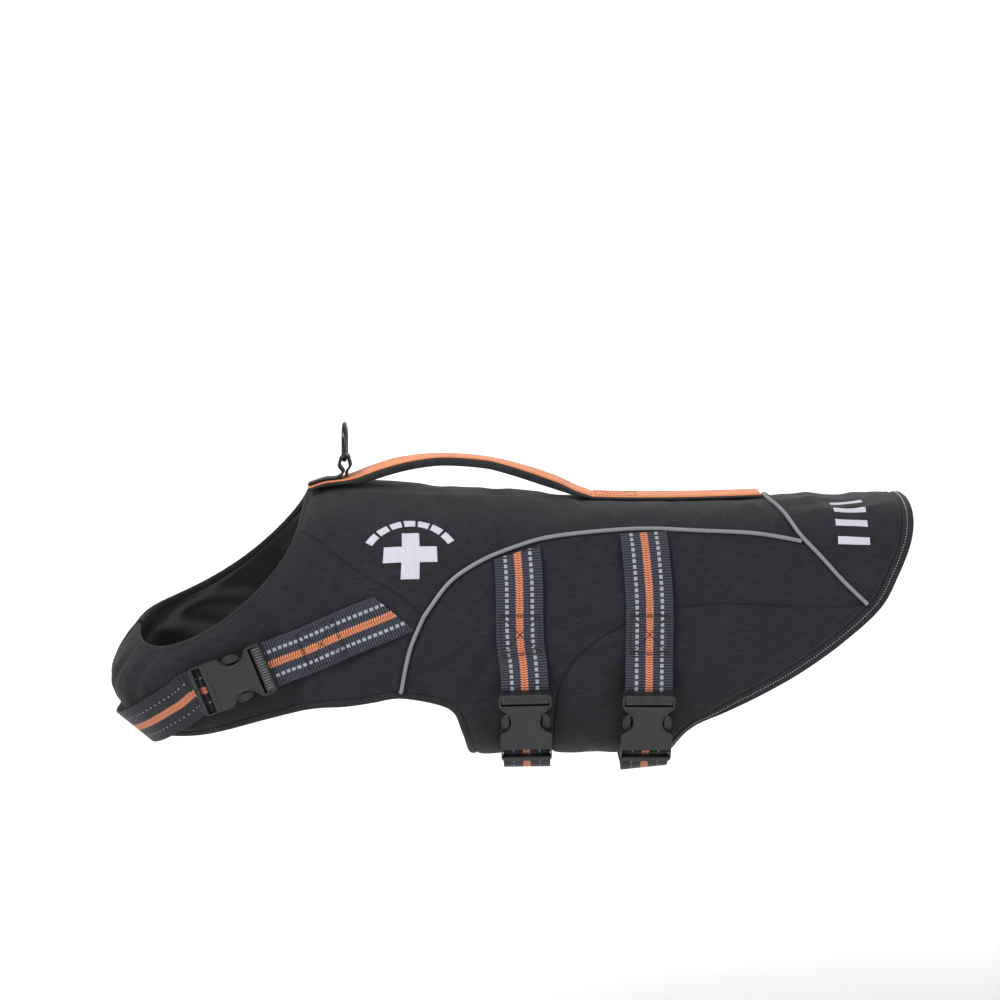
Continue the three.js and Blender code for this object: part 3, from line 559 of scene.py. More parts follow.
def wave(tree, along, pitch, shift=0.0):
    """A wave from 0 to 1 along a flat coordinate, once every pitch. shift moves it on."""
    turns = node(tree, "Math", [along, 2 * math.pi / pitch, shift], operation="MULTIPLY_ADD")
    turns = node(tree, "Math", [turns], operation="SINE")
    return node(tree, "Math", [turns, 0.5, 0.5], operation="MULTIPLY_ADD")


def set_surface(tree, surface, colour=None, height=None, depth=0.1 * MM, strength=1.0, roughness=None):
    """Feeds a colour, a bump and a roughness pattern into a shader."""
    if colour is not None:
        tree.links.new(next(o for o in colour.outputs if o.enabled), surface.inputs["Base Color"])
    if roughness is not None:
        tree.links.new(roughness.outputs[0], surface.inputs["Roughness"])
    if height is not None:
        bump = node(tree, "Bump", {"Height": height, "Distance": depth, "Strength": strength})
        tree.links.new(bump.outputs[0], surface.inputs["Normal"])


def streaks(tree, width, length):
    """Uneven threads: streaks of a width and a length in metres, along and across."""
    place = node(tree, "UVMap", uv_map="Weave")
    both_ways = []
    for stretch in ((width, length, 1), (length, width, 1)):
        scale = [1 / s for s in stretch]
        laid = node(tree, "Mapping", {"Vector": place, "Scale": scale})
        noise = {"Vector": laid, "Scale": 1.0, "Detail": 1.0}
        both_ways.append(node(tree, "TexNoise", noise, noise_dimensions="2D"))
    return node(tree, "Math", both_ways, operation="ADD")


def oxford(name, dark, light, pitch=THREAD, roughness=0.8):
    material, tree, surface = shader(
        name, dark, roughness, Specular_IOR_Level=0.2, Sheen_Weight=0.06, Sheen_Roughness=0.5
    )
    weave = plain_weave(tree, pitch)
    uneven = node(tree, "Math", [streaks(tree, STREAK, 14 * MM), 1.0, -0.6], operation="MULTIPLY_ADD")
    part = node(tree, "Math", [weave, 0.3], operation="MULTIPLY")
    tone = node(tree, "Math", [uneven, 0.7, part], operation="MULTIPLY_ADD", use_clamp=True)
    threads = node(tree, "Mix", {0: tone, 6: linear(dark), 7: linear(light)}, data_type="RGBA")
    place = node(tree, "TexCoord").outputs["Object"]
    cloud = node(tree, "TexNoise", {"Vector": place, "Scale": 1 / (35 * MM), "Detail": 3.0})
    shade = node(tree, "Mix", {0: cloud, 6: linear("#c8c8c8"), 7: linear("#ffffff")}, data_type="RGBA")
    toned = node(tree, "Mix", {0: 1.0, 6: threads, 7: shade}, data_type="RGBA", blend_type="MULTIPLY")
    relief = node(tree, "Math", [uneven, 0.6, weave], operation="MULTIPLY_ADD")
    set_surface(tree, surface, toned, relief, 0.1 * MM, 0.5)
    return material


cloth = oxford("polyester_oxford_woven", "#161419", "#2d2b31")
binding_cloth = oxford("polyester_binding_woven", "#19171c", "#2f2d33", pitch=0.5 * MM, roughness=0.72)

lining, lining_tree, lining_surface = shader(
    "nylon_lining_coated", "#0c0c0e", 0.36, Specular_IOR_Level=0.45, Sheen_Weight=0.04, Sheen_Roughness=0.4
)
lining_place = node(lining_tree, "TexCoord").outputs["Object"]
crinkle = node(lining_tree, "TexNoise", {"Vector": lining_place, "Scale": 1 / (9 * MM), "Detail": 2.0})
set_surface(lining_tree, lining_surface, None, crinkle, 0.3 * MM, 0.25)

# %% [markdown]
# ## The padded panels
#
# A foam panel of a life jacket is sewn flat at its rim and full in the middle, so its face rises steeply from
# each seam and then runs almost level. Where the thread pulls the cloth in, short puckers stand across the
# seam. First come the tools for that: a grid between four lines, a closed wall between two grids, and the
# distance of every point to the nearest seam.

# %% Foam panels
WALL, PUFF = 5 * MM, 2 * MM


def rows_of(count):
    """Even places from 0 to 1 and some more near the ends, where the cloth turns down into a seam."""
    near = np.array([0.16, 0.36, 0.64]) / count
    return np.sort(np.concatenate([np.linspace(0, 1, count + 1), near, 1 - near]))


def at(line, places):
    """A line read at places from 0 to 1."""
    index = np.asarray(places) * (len(line) - 1)
    return np.stack([np.interp(index, np.arange(len(line)), column) for column in line.T], -1)


def round_the_body(rows):
    """A strap's whole line, down the left side, under the belly and up the right side."""
    near = spaced(curved(rows), 24)
    far = near[::-1] * [1, -1] + [0, 360]
    return joined(near, far)


STRAP_LINES = {name: round_the_body(rows) for name, rows in STRAPS.items()}
SPINE_STRIP = np.stack([np.linspace(2, 400, 200), np.zeros(200)], -1)
UNDER_STRAPS = np.concatenate([*(spaced(form(line), 300) for line in STRAP_LINES.values()), form(SPINE_STRIP)])


def nearest(points, rim):
    """The distance from each point to the rim, and how far along the rim its nearest place is."""
    tree = KDTree(len(rim))
    for i, p in enumerate(rim):
        tree.insert(p, i)
    tree.balance()
    found = [tree.find(p)[1:] for p in points.reshape(-1, 3)]
    travel = travelled(rim)
    distance = np.array([f[1] for f in found]).reshape(points.shape[:-1])
    along = travel[[f[0] for f in found]].reshape(points.shape[:-1])
    return distance, along


def dense(line, step=0.6 * MM):
    """The same line on the form, with a point every step."""
    length = travelled(form(line))[-1]
    return at(line, np.linspace(0, 1, int(length / step) + 2))


def walled(outer, inner):
    """Points and faces of a closed wall between two grids. Faces come in three kinds: outside, inside, rim."""
    rows, columns = outer.shape[:2]
    points = np.concatenate([outer.reshape(-1, 3), inner.reshape(-1, 3)])
    k = np.arange(rows * columns).reshape(rows, columns)
    quads = np.stack([k[:-1, :-1], k[:-1, 1:], k[1:, 1:], k[1:, :-1]], -1).reshape(-1, 4)
    border = np.concatenate([k[0, :], k[1:, -1], k[-1, -2::-1], k[-2:0:-1, 0]])
    following = np.roll(border, -1)
    shift = rows * columns
    rim = np.stack([border, border + shift, following + shift, following], -1)
    faces = np.concatenate([quads, quads[:, ::-1] + shift, rim])
    kinds = np.repeat([0, 1, 0], [len(quads), len(quads), len(rim)])
    return points, faces, kinds


def patch(lines, u, v):
    """Places between four lines, at shares u from left to right and v from top to bottom."""
    top, bottom, left, right = lines
    U, V = u[None, :, None], v[:, None, None]
    corners = (1 - V) * ((1 - U) * top[0] + U * top[-1]) + V * ((1 - U) * bottom[0] + U * bottom[-1])
    edges = (1 - V) * at(top, u)[None] + V * at(bottom, u)[None]
    return edges + (1 - U) * at(left, v)[:, None] + U * at(right, v)[:, None] - corners


def length_of(line):
    """The length of a path of points."""
    return float(travelled(line)[-1])


# %% [markdown]
# ## Letting the cloth swell
#
# Blender's cloth simulation decides how each panel swells. An even closed pad is made for every panel, flat
# as it is before it is filled. Its back and its rim are held, its cloth is cut a little larger than the
# opening, and pressure from within takes the place of the foam. After 20 frames the face has settled, and
# only the height that it has reached is kept. The foam is stiffer than air, so that height is capped, and the
# valleys between its folds never go below the sewn rim.

# %% Simulation of the padded cloth
PAD_STEP, PRESSURE, SPARE_CLOTH = 5 * MM, 4.0, 0.012


def unfilled_pad(name, lines):
    """A pad with a Cloth modifier, and what is needed to read its face afterwards."""
    lengths = [max(length_of(form(a)), length_of(form(b))) for a, b in (lines[:2], lines[2:])]
    u, v = (np.linspace(0, 1, max(8, int(length / PAD_STEP))) for length in lengths)
    grid = patch(lines, u, v)
    face = form(grid)
    points, faces, _ = walled(face, raised(grid, np.full(grid.shape[:2], -WALL)))
    outward = slopes(grid)[2]
    turned = np.cross(face[1, 0] - face[0, 0], face[0, 1] - face[0, 0]) @ outward[0, 0] > 0
    mesh = bpy.data.meshes.new(name + "_pad")
    mesh.from_pydata(points.tolist(), [], (faces[:, ::-1] if turned else faces).tolist())
    pad = bpy.data.objects.new(name + "_pad", mesh)
    bpy.context.collection.objects.link(pad)
    loose = np.zeros(len(points), bool)
    loose[: face.shape[0] * face.shape[1]].reshape(face.shape[:2])[1:-1, 1:-1] = True
    pad.vertex_groups.new(name="held").add(np.flatnonzero(~loose).tolist(), 1.0, "REPLACE")
    cloth_settings = pad.modifiers.new("Cloth", "CLOTH")
    settings = cloth_settings.settings
    settings.vertex_group_mass = "held"
    settings.use_pressure, settings.uniform_pressure_force = True, PRESSURE
    settings.shrink_min = -SPARE_CLOTH
    settings.effector_weights.gravity = 0
    cloth_settings.collision_settings.use_collision = False
    return pad, u, v, face, outward


def swollen_faces():
    """The swelling of every panel: shares u and v, and the height at each of them."""
    pads = {name: unfilled_pad(name, lines) for name, lines in PANELS.items()}
    for step in range(1, 21):
        bpy.context.scene.frame_set(step)
    graph = bpy.context.evaluated_depsgraph_get()
    result = {}
    for name, (pad, u, v, face, normal) in pads.items():
        now = pad.evaluated_get(graph).data
        moved = np.empty(len(now.vertices) * 3)
        now.vertices.foreach_get("co", moved)
        moved = moved.reshape(-1, 3)[: face.shape[0] * face.shape[1]].reshape(face.shape)
        result[name] = u, v, np.sum((moved - face) * normal, -1)
        heights = result[name][2] / MM
        print(name, "swells by", np.round(np.percentile(heights, [0, 10, 50, 90, 100]), 2), "mm")
    for pad, *_ in pads.values():
        bpy.data.meshes.remove(pad.data)
    bpy.context.scene.frame_set(1)
    return result


SWELLING = swollen_faces()

# %% [markdown]
# ## The finished panels
#
# Each panel's face is its swelling, then broad shallow ripples, because foam never lies quite even, then the
# creases of the worn jacket, which are listed one by one, and last the seams that pull it in. Straps press the
# foam down a little. The lining inside is looser, so its ripples are larger.

# %% Creases and faces
# Creases of the worn jacket: places along each, and its depth and half width in millimetres
CREASES = [
    ([[2, 79.5], [20, 81], [40, 86], [57, 95], [70, 105], [74, 111]], 3.2, 8),
    ([[0, 128], [9, 131], [18, 137], [24, 144]], 1.6, 6),
    ([[4, 150], [12, 154], [22, 163]], 1.8, 6),
    ([[84, 108], [82, 101], [84, 94], [92, 88]], 1.7, 7),
    ([[124, 107], [133, 101], [146, 98]], 2.4, 6),
    ([[122, 101], [131, 95], [139, 88]], 1.6, 6),
    ([[150, 112], [162, 103], [170, 90]], 1.5, 7),
    ([[60, 22], [72, 34], [88, 42]], 0.7, 9),
    ([[106, 8], [112, 20], [122, 30], [136, 37]], 1.0, 9),
    ([[158, 6], [160, 18], [168, 30]], 0.8, 8),
    ([[206, 10], [214, 22], [226, 32]], 0.8, 9),
    ([[222, 62], [228, 76], [232, 88]], 0.8, 8),
    ([[318, 52], [330, 60], [352, 66]], 0.6, 9),
    ([[384, 20], [398, 22], [420, 18], [440, 20]], 1.1, 10),
    ([[436, 2], [438, 12], [442, 24], [446, 34]], 1.8, 12),
    ([[8, 60], [16, 66], [26, 70]], 0.9, 7),
    ([[36, 66], [50, 74], [64, 80]], 0.8, 9),
    ([[172, 66], [178, 80], [180, 96]], 0.9, 7),
    ([[298, 60], [304, 74], [306, 88]], 0.8, 7),
    ([[330, 92], [350, 98], [380, 101]], 0.8, 9),
    ([[226, 112], [238, 122], [244, 138]], 0.9, 8),
    ([[262, 98], [272, 112], [276, 130]], 0.8, 8),
    ([[452, 62], [462, 50], [466, 36]], 0.7, 9),
]
NECK_EDGES = form(np.concatenate([dense(LEFT["neck_in"]), dense(RIGHT["neck_in"])]))


def creased(grid):
    """How deep the creases and how high the soft ridges beside them are, on both sides of the jacket."""
    depth = np.zeros(grid.shape[:2])
    for rows, deep, half in CREASES:
        for turn in (1, -1):
            line = spaced(curved(np.array(rows) * [1, turn]), 60)
            distance, along = nearest(form(grid), form(line))
            share = along / max(float(along.max()), 1e-6)
            fade = 0.25 + 0.75 * np.sin(math.pi * np.clip(share, 0.02, 0.98))
            t = distance / (half * MM)
            depth += 1.25 * deep * MM * fade * (0.35 * np.exp(-((t - 1.6) ** 2) * 2.5) - np.exp(-(t**2)))
    return depth


LEVEL_FROM, PUCKER_PITCH, PUCKER_DEPTH = 22 * MM, 9.5 * MM, 0.24 * MM
SEAM_DEPTH, STRAP_PRINT = 1.1 * MM, 0.8 * MM


def foam_panel(name, lines, seed):
    u, v = rows_of(len(lines[0]) - 1), rows_of(len(lines[2]) - 1)
    grid = patch(lines, u, v)
    rim = form(np.concatenate([dense(side) for side in lines]))
    distance, along = nearest(form(grid), rim)
    uv = flat(grid)
    free = smoothstep(distance / LEVEL_FROM)
    rise = PUFF * (1 - np.exp(-distance / (6 * MM)))
    if name in SWELLING:
        pad_u, pad_v, height = SWELLING[name]
        height = smooth_through(pad_u, smooth_through(pad_v, height, v).T, u).T
        height = 0.5 * (height + np.hypot(height, 0.8 * MM))
        rise = 0.25 * rise + 0.75 * PUFF * np.tanh(height / PUFF)
    puckers = np.sin(2 * math.pi * along / PUCKER_PITCH + 2.2 * ripples(uv, 45 * MM, seed))
    strength = 0.55 + 0.45 * ripples(uv, 90 * MM, seed + 50)
    close = np.exp(-distance / (7 * MM)) * (1 - np.exp(-distance / (1.6 * MM)))
    pucker = PUCKER_DEPTH * puckers * strength * close
    broad = (0.5 * ripples(uv, 75 * MM, seed + 100) + 0.22 * ripples(uv, 28 * MM, seed + 200)) * MM * free
    at_seam = 0.2 + 0.8 * smoothstep(nearest(form(grid), NECK_EDGES)[0] / (4 * MM))
    dip = SEAM_DEPTH * np.exp(-((distance / (1.0 * MM)) ** 2)) * at_seam
    pressed = STRAP_PRINT * smoothstep((24 * MM - nearest(form(grid), UNDER_STRAPS)[0]) / (7 * MM)) * free
    folds = creased(grid) * smoothstep(distance / (4 * MM))
    outer = raised(grid, rise + pucker + broad + folds - dip - pressed)
    loose = 0.9 * ripples(uv, 60 * MM, seed + 300) + 0.12 * ripples(uv, 26 * MM, seed + 400)
    inside = -WALL + loose * MM * free
    points, faces, kinds = walled(outer, raised(grid, inside))
    made = make(name + "_foam", points, faces, np.concatenate([uv.reshape(-1, 2)] * 2), [cloth, lining], kinds)
    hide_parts(name)
    return made


panel_pieces = {
    name: foam_panel(name, lines, seed) for seed, (name, lines) in enumerate(sorted(PANELS.items()))
}
print("panels:", {name: len(piece.data.polygons) for name, piece in panel_pieces.items()})


# %% [markdown]
# ## Bound edges
#
# Every raw edge of the jacket is closed with a narrow folded tape. Its free edge is round, because the tape
# turns over the foam there, and its inner edge is sewn flat. The thread draws the tape in at each stitch, so
# small puckers run along it.

# %% Bindings
def binding(name, edge, inside, seed, material=binding_cloth, seam=0.8 * MM):
    """A tape folded over an edge: edge and inside are lines on the form, and seam is how deep it is sewn in."""
    edge, inside = dense(edge, 1.6 * MM), at(inside, np.linspace(0, 1, len(dense(edge, 1.6 * MM))))
    width = np.linalg.norm(form(inside) - form(edge), axis=1)[:, None]
    travel = travelled(form(edge))[:, None]
    top, low, radius = 0.5 * MM, -4.4 * MM, 2.45 * MM
    turn = np.linspace(0.5, 1.5, 9)[None] * math.pi
    full = np.linspace(1, 0, 7)[None]
    reach = width - radius
    fold = radius + radius * np.cos(turn[:, 1:-1]) + 0 * width
    across = np.hstack([radius + reach * full, fold, radius + reach * full[:, ::-1]])
    middle = (top + low) / 2
    height = np.concatenate([np.full(7, top), middle + radius * np.sin(turn[0, 1:-1]), np.full(7, low)])[None]
    share = across / width
    spot = edge[:, None] * (1 - share[..., None]) + inside[:, None] * share[..., None]
    drift = 2.5 * ripples(np.hstack([travel, travel]), 60 * MM, seed)[:, None]
    wave = np.sin(2 * math.pi * travel / (7.5 * MM) + drift)
    pucker = 0.16 * MM * wave * np.sin(math.pi * np.clip(share, 0, 1)) * (height > middle)
    dip = seam * np.exp(-(((width - across) / (0.9 * MM)) ** 2)) * np.sign(height - middle)
    ring = raised(spot, height + pucker - dip)
    rows, columns = ring.shape[:2]
    k = np.arange(rows * columns).reshape(rows, columns)
    following = np.roll(k, -1, axis=1)
    faces = np.stack([k[:-1], following[:-1], following[1:], k[1:]], -1).reshape(-1, 4).tolist()
    faces += [k[0, ::-1].tolist(), k[-1].tolist()]
    uv = np.stack([across, travel + 0 * across], -1).reshape(-1, 2)
    made = make(name + "_tape", ring.reshape(-1, 3), faces, uv, [material])
    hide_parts(name)
    return made


both = lambda key: joined(LEFT[key], RIGHT[key][::-1])
binding("neck_binding", both("neck"), both("neck_in"), 21, cloth, 0.2 * MM)
binding("hem_binding", both("hem"), both("hem_in"), 22)
binding("low_binding_left", LEFT["low"], LEFT["low_in"], 23)
binding("low_binding_right", RIGHT["low"], RIGHT["low_in"], 24)

# %% [markdown]
# ## Swept pieces
#
# Piping, webbing, the handle and the leash ring all come from one idea: a cross-section that travels along a
# path. At each step the section is turned so that it faces away from the body.

# %% Sweeping
LEANING_ROWS = 6


def frames(path, facing):
    way = unit(np.gradient(path, axis=0))
    across = unit(np.cross(way, facing))
    return way, across, np.cross(across, way)


def swept(name, path, facing, profile, materials, kinds=None, closed=False, slants=None, body="jacket"):
    """Carries profile, rows of (across, up) for one step or for every step, along a path.
    kinds holds the number of the material at each step.
    slants holds, for the first step 0 or the last step -1, the direction that this end is cut along."""
    way, across, up = frames(path, facing)
    if closed:
        way = unit(np.roll(path, -1, 0) - np.roll(path, 1, 0))
        across = unit(np.cross(way, facing))
        up = np.cross(across, way)
    profile = np.broadcast_to(profile, (len(path), *np.shape(profile)[-2:]))
    ring = path[:, None] + across[:, None] * profile[..., :1] + up[:, None] * profile[..., 1:]
    rows, columns = ring.shape[:2]
    travel = travelled(path)[:, None]
    travel = travel + 0 * profile[..., 0]
    for end, seam in (slants or {}).items():
        lean = float(seam @ way[end]) / float(seam @ across[end])
        for i in range(LEANING_ROWS):
            row = i if end == 0 else -1 - i
            shift = profile[row][:, 0] * lean * (1 - i / LEANING_ROWS)
            ring[row] += way[end] * shift[:, None]
            travel[row] += shift
    k = np.arange(rows * columns).reshape(rows, columns)
    after = np.roll(k, -1, axis=0) if closed else k[1:]
    here = k if closed else k[:-1]
    faces = np.stack([here, np.roll(here, -1, 1), np.roll(after, -1, 1), after], -1).reshape(-1, 4).tolist()
    kinds = [0] * len(faces) if kinds is None else np.repeat(kinds[: len(here)], columns).tolist()
    if not closed:
        faces += [k[0, ::-1].tolist(), k[-1].tolist()]
        kinds += [kinds[0], kinds[-1]]
    uv = np.stack([profile[..., 0], travel], -1).reshape(-1, 2)
    return make(name, ring.reshape(-1, 3), faces, uv, materials, kinds, body=body)


def round_section(radius, sides=14):
    turn = np.arange(sides) * 2 * math.pi / sides
    return np.stack([radius * np.cos(turn), radius * np.sin(turn)], -1)


def flat_section(width, thick, steps=10, ends=5):
    """A band's section with rounded edges, counted round from the top left."""
    radius = thick / 2
    x = np.linspace(-width / 2 + radius, width / 2 - radius, steps + 1)
    turn = np.linspace(0.5, -0.5, ends + 1)[1:-1] * math.pi
    right = np.stack([width / 2 - radius + radius * np.cos(turn), radius * np.sin(turn)], -1)
    top = np.stack([x, np.full_like(x, radius)], -1)
    return np.vstack([top, right, -top, -right])


def through(points, step, *more):
    """A smooth path through points, cut to about a step. Other columns are carried along."""
    columns = np.hstack([points, *more])
    knots = travelled(points)
    return smooth_through(knots, columns, np.linspace(0, knots[-1], int(knots[-1] / step) + 2))


# %% [markdown]
# ## Reflective piping
#
# The pale lines are a cord wrapped in grey reflective tape and caught in the seam. The tape holds tiny glass
# beads, so it looks matt grey from most sides, with a soft broad highlight.

# %% Piping
reflective, reflective_tree, reflective_surface = shader(
    "reflective_tape_beaded", "#606365", 0.5, Metallic=0.15, Specular_IOR_Level=0.6
)
tape_place = node(reflective_tree, "TexCoord").outputs["Object"]
beads = node(reflective_tree, "TexNoise", {"Vector": tape_place, "Scale": 1 / (1.2 * MM), "Detail": 2.0})
greys = {0: beads, 6: linear("#64666a"), 7: linear("#808388")}
tape_grey = node(reflective_tree, "Mix", greys, data_type="RGBA")
set_surface(reflective_tree, reflective_surface, tape_grey, beads, 0.05 * MM, 0.5)


def piping(name, line):
    line = dense(line, 2.0 * MM)
    path = raised(line, np.full(len(line), 2.2 * MM))
    made = swept(name + "_cord", path, slopes(line)[2], round_section(1.7 * MM), [reflective])
    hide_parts(name)


for side, line in (("left", LEFT), ("right", RIGHT)):
    cord = dense(joined(line["piping_low"][::-1], line["piping_high"]))
    to_tail = np.linalg.norm(form(cord) - form(cord[-1]), axis=1)
    piping(f"piping_{side}", cord[to_tail > 4.3 * MM])
half_tail = joined(LEFT["tail_side"][::-1], LEFT["tail_top"][::-1])
piping("piping_tail", joined(half_tail, RIGHT["tail_top"], RIGHT["tail_side"]))


# %% [markdown]
# ## Webbing
#
# The straps are polyester webbing, 38 mm wide. Its thick weft shows as ribs across the band. Two columns of
# grey dashes are reflective yarn that comes up and goes under, and a bright yarn makes the chain along the
# middle. On the reverse the reflective yarn is hidden except for tiny dots. All of it is drawn from two flat
# numbers, the distance from the middle of the band and the distance along it.

# %% Webbing materials
WEBBING_WIDTH, WEBBING_THICK, WEBBING_CLEAR = 38 * MM, 1.8 * MM, 1.2 * MM
RIB = 2.2 * MM
DASH_PITCH, DASH_SHARE, DASH_AT, DASH_HALF = 4.7 * MM, 0.66, 10.1 * MM, 1.35 * MM
CHAIN_HALF, CHAIN_PITCH = 2.9 * MM, 2.0 * MM


def webbing_cloth(name, reverse):
    material, tree, surface = shader(name, "#2b2b35", 0.7, Specular_IOR_Level=0.25, Sheen_Weight=0.08)
    u, v = flat_place(tree)[:2]
    off = node(tree, "Math", [u], operation="ABSOLUTE")
    rib = wave(tree, v, RIB)
    ends = node(tree, "Math", [u, 2 * math.pi / (1.1 * MM)], operation="MULTIPLY")
    ends = node(tree, "Math", [ends], operation="SINE")
    ends = node(tree, "Math", [ends, 0.2, 0.8], operation="MULTIPLY_ADD")
    light = node(tree, "Math", [rib, 2.5], operation="POWER")
    light = node(tree, "Math", [light, ends], operation="MULTIPLY")
    plain = ("#15151a", "#2a2a33") if reverse else ("#1a1a22", "#484857")
    ground = node(tree, "Mix", {0: light, 6: linear(plain[0]), 7: linear(plain[1])}, data_type="RGBA")

    lean = node(tree, "Math", [off, 2 * math.pi * 0.45 / CHAIN_HALF], operation="MULTIPLY")
    links = wave(tree, v, CHAIN_PITCH, lean)
    middle = node(tree, "Math", [off, 0.35 * MM], operation="GREATER_THAN")
    twist = node(tree, "Math", [middle, 0.4, 0.6], operation="MULTIPLY_ADD")
    twist = node(tree, "Math", [links, twist], operation="MULTIPLY")
    bright = node(tree, "Mix", {0: twist, 6: linear("#6f2f17"), 7: linear("#d68b66")}, data_type="RGBA")
    edge = node(tree, "Math", [links, 0.7 * MM, CHAIN_HALF - 0.45 * MM], operation="MULTIPLY_ADD")
    in_chain = node(tree, "Math", [off, edge], operation="LESS_THAN")
    toned = node(tree, "Mix", {0: in_chain, 6: ground, 7: bright}, data_type="RGBA")

    column, share = (10.5 * MM, 0.22) if reverse else (DASH_AT, DASH_SHARE)
    half = 0.5 * MM if reverse else DASH_HALF
    in_column = node(tree, "Math", [off, column, half], operation="COMPARE")
    in_dash = node(tree, "Math", [v, 1 / DASH_PITCH], operation="MULTIPLY")
    in_dash = node(tree, "Math", [in_dash], operation="FRACT")
    in_dash = node(tree, "Math", [in_dash, share], operation="LESS_THAN")
    dash = node(tree, "Math", [in_column, in_dash], operation="MULTIPLY")
    toned = node(tree, "Mix", {0: dash, 6: toned, 7: linear("#8b9199")}, data_type="RGBA")
    raised_yarn = node(tree, "Math", [in_chain, links], operation="MULTIPLY")
    raised_yarn = node(tree, "Math", [dash, raised_yarn], operation="MAXIMUM")
    height = node(tree, "Math", [raised_yarn, 0.7, rib], operation="MULTIPLY_ADD")
    set_surface(tree, surface, toned, height, 0.22 * MM)
    return material


webbing_face = webbing_cloth("polyester_webbing_woven", False)
webbing_reverse = webbing_cloth("polyester_webbing_reverse", True)
# A darker plain copy of the webbing, without dashes or chain: painted shade for the part of a sewn strap that lies
# under its buckle and runs into the socket.
webbing_shade = oxford("polyester_webbing_painted_shade", "#101013", "#1c1c20", pitch=1.1 * MM)

# %% [markdown]
# ## The straps
#
# Each strap is sewn on at the piping, runs down through the socket of a buckle, and comes up again from the
# plug round the other side. It lies on the foam with a small lift and dives into the buckle's slots. The ends
# are cut along the seam that holds them.

# %% Straps
END_GAP, STAND_OFF, BUCKLE_LENGTH = 3 * MM, 3 * MM, 63 * MM
SOCKET_ENTRY = np.array([[-1.5, 1.9], [5.6, 1.9], [7.6, 3.4], [7.9, 7.2]]) * MM
PLUG_ENTRY = np.array([[54.8, 5.9], [57.5, 3.3], [60, 1.9], [65, 1.7]]) * MM
SEAMS_AT_STRAPS = {"neck": SHOULDER_SEAM, "girth_front": PIPING_HIGH, "girth_rear": PIPING_HIGH}
BUCKLES_AT = {"neck": (102.4, 94, 118), "girth_front": (122.5, 98, 164), "girth_rear": (123, 98, 164)}


def buckle_frame(line, angle):
    """The four columns of a buckle's place: along the strap, across it, out of it, and its origin."""
    ahead = int(np.argmax(line[:, 1] > angle))
    behind = ahead - 1
    share = (angle - line[behind, 1]) / (line[ahead, 1] - line[behind, 1])
    spot = np.array([line[behind, 0] + share * (line[ahead, 0] - line[behind, 0]), angle])
    normal = slopes(spot)[2]
    x = form(line[ahead]) - form(line[behind])
    x = unit(x - (x @ normal) * normal)
    origin = raised(spot, PUFF + STAND_OFF) - x * BUCKLE_LENGTH / 2
    return x, np.cross(normal, x), normal, origin


def entry(frame, rows):
    x, _, z, origin = frame
    way = np.gradient(rows, axis=0)
    facing = unit(way[:, :1] * z - way[:, 1:] * x)
    return origin + rows[:, :1] * x + rows[:, 1:] * z, facing


def strap(name, sag):
    line = STRAP_LINES[name]
    middle, sewn_end, free_start = BUCKLES_AT[name]
    places, facing = form(line), slopes(line)[2]
    to_end = np.minimum(*(np.linalg.norm(places - end, axis=1) for end in (places[0], places[-1])))
    lift = PUFF * smoothstep((END_GAP + to_end) / (24 * MM)) + WEBBING_CLEAR + WEBBING_THICK / 2
    lift = lift + sag(line[:, 1])
    places = places + facing * lift[:, None]
    frame = buckle_frame(line, middle)
    rows = SEAMS_AT_STRAPS[name]
    i = next(k for k, row in enumerate(rows) if row[0] > line[0, 0])
    near_seam = np.array([rows[i - 1], rows[i]], float)
    cut = [unit(np.diff(form(near_seam * [1, turn]), axis=0)[0]) for turn in (1, -1)]
    result = {}
    for part, keep, rows, reverse in (
        ("sewn", line[:, 1] <= sewn_end, SOCKET_ENTRY, False),
        ("free", line[:, 1] >= free_start, PLUG_ENTRY, True),
    ):
        points, faces = entry(frame, rows)
        order = [0, 1] if part == "sewn" else [1, 0]
        joined_points = [(places[keep], facing[keep]), (points, faces)]
        columns = [np.vstack([joined_points[k][j] for k in order]) for j in (0, 1)]
        path = through(columns[0], 2.5 * MM, columns[1])
        slants = {0: cut[0]} if part == "sewn" else {-1: cut[1]}
        # Painted shade: the sewn strap under the buckle and in its socket takes the darker plain webbing instead of
        # its woven face.
        shaded_under_buckle = (((path[:, :3] - frame[3]) @ frame[0]) > 1.5 * MM).astype(int) * (part == "sewn")
        made = swept(
            f"{name}_webbing_{part}", path[:, :3], unit(path[:, 3:]),
            flat_section(WEBBING_WIDTH, WEBBING_THICK),
            [webbing_reverse if reverse else webbing_face, webbing_shade], slants=slants,
            kinds=shaded_under_buckle if part == "sewn" else None,
        )
        length = length_of(path[:, :3])
        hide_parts(f"{name}_strap_{part}")
        result[part] = path
        print(made.name, round(length * 1000), "mm")
    result["frame"] = frame
    return result


no_sag = lambda angle: 0 * angle
under_belly = lambda angle: np.where(angle < 140, 0, 4 * MM * smoothstep((240 - angle) / 50))
straps = {name: strap(name, no_sag if name == "neck" else under_belly) for name in STRAPS}

# %% [markdown]
# ## The carrying handle and the bright back strip
#
# The handle is a foam core wrapped in dark webbing. It is sewn down at both ends, and between them it stands
# up in an arch that a hand can grip. A bright woven tape runs over its top and on along the back, so that the
# wearer is easily seen from above in the water. The tape lies a little proud of the dark base, and its edges
# are sewn down.

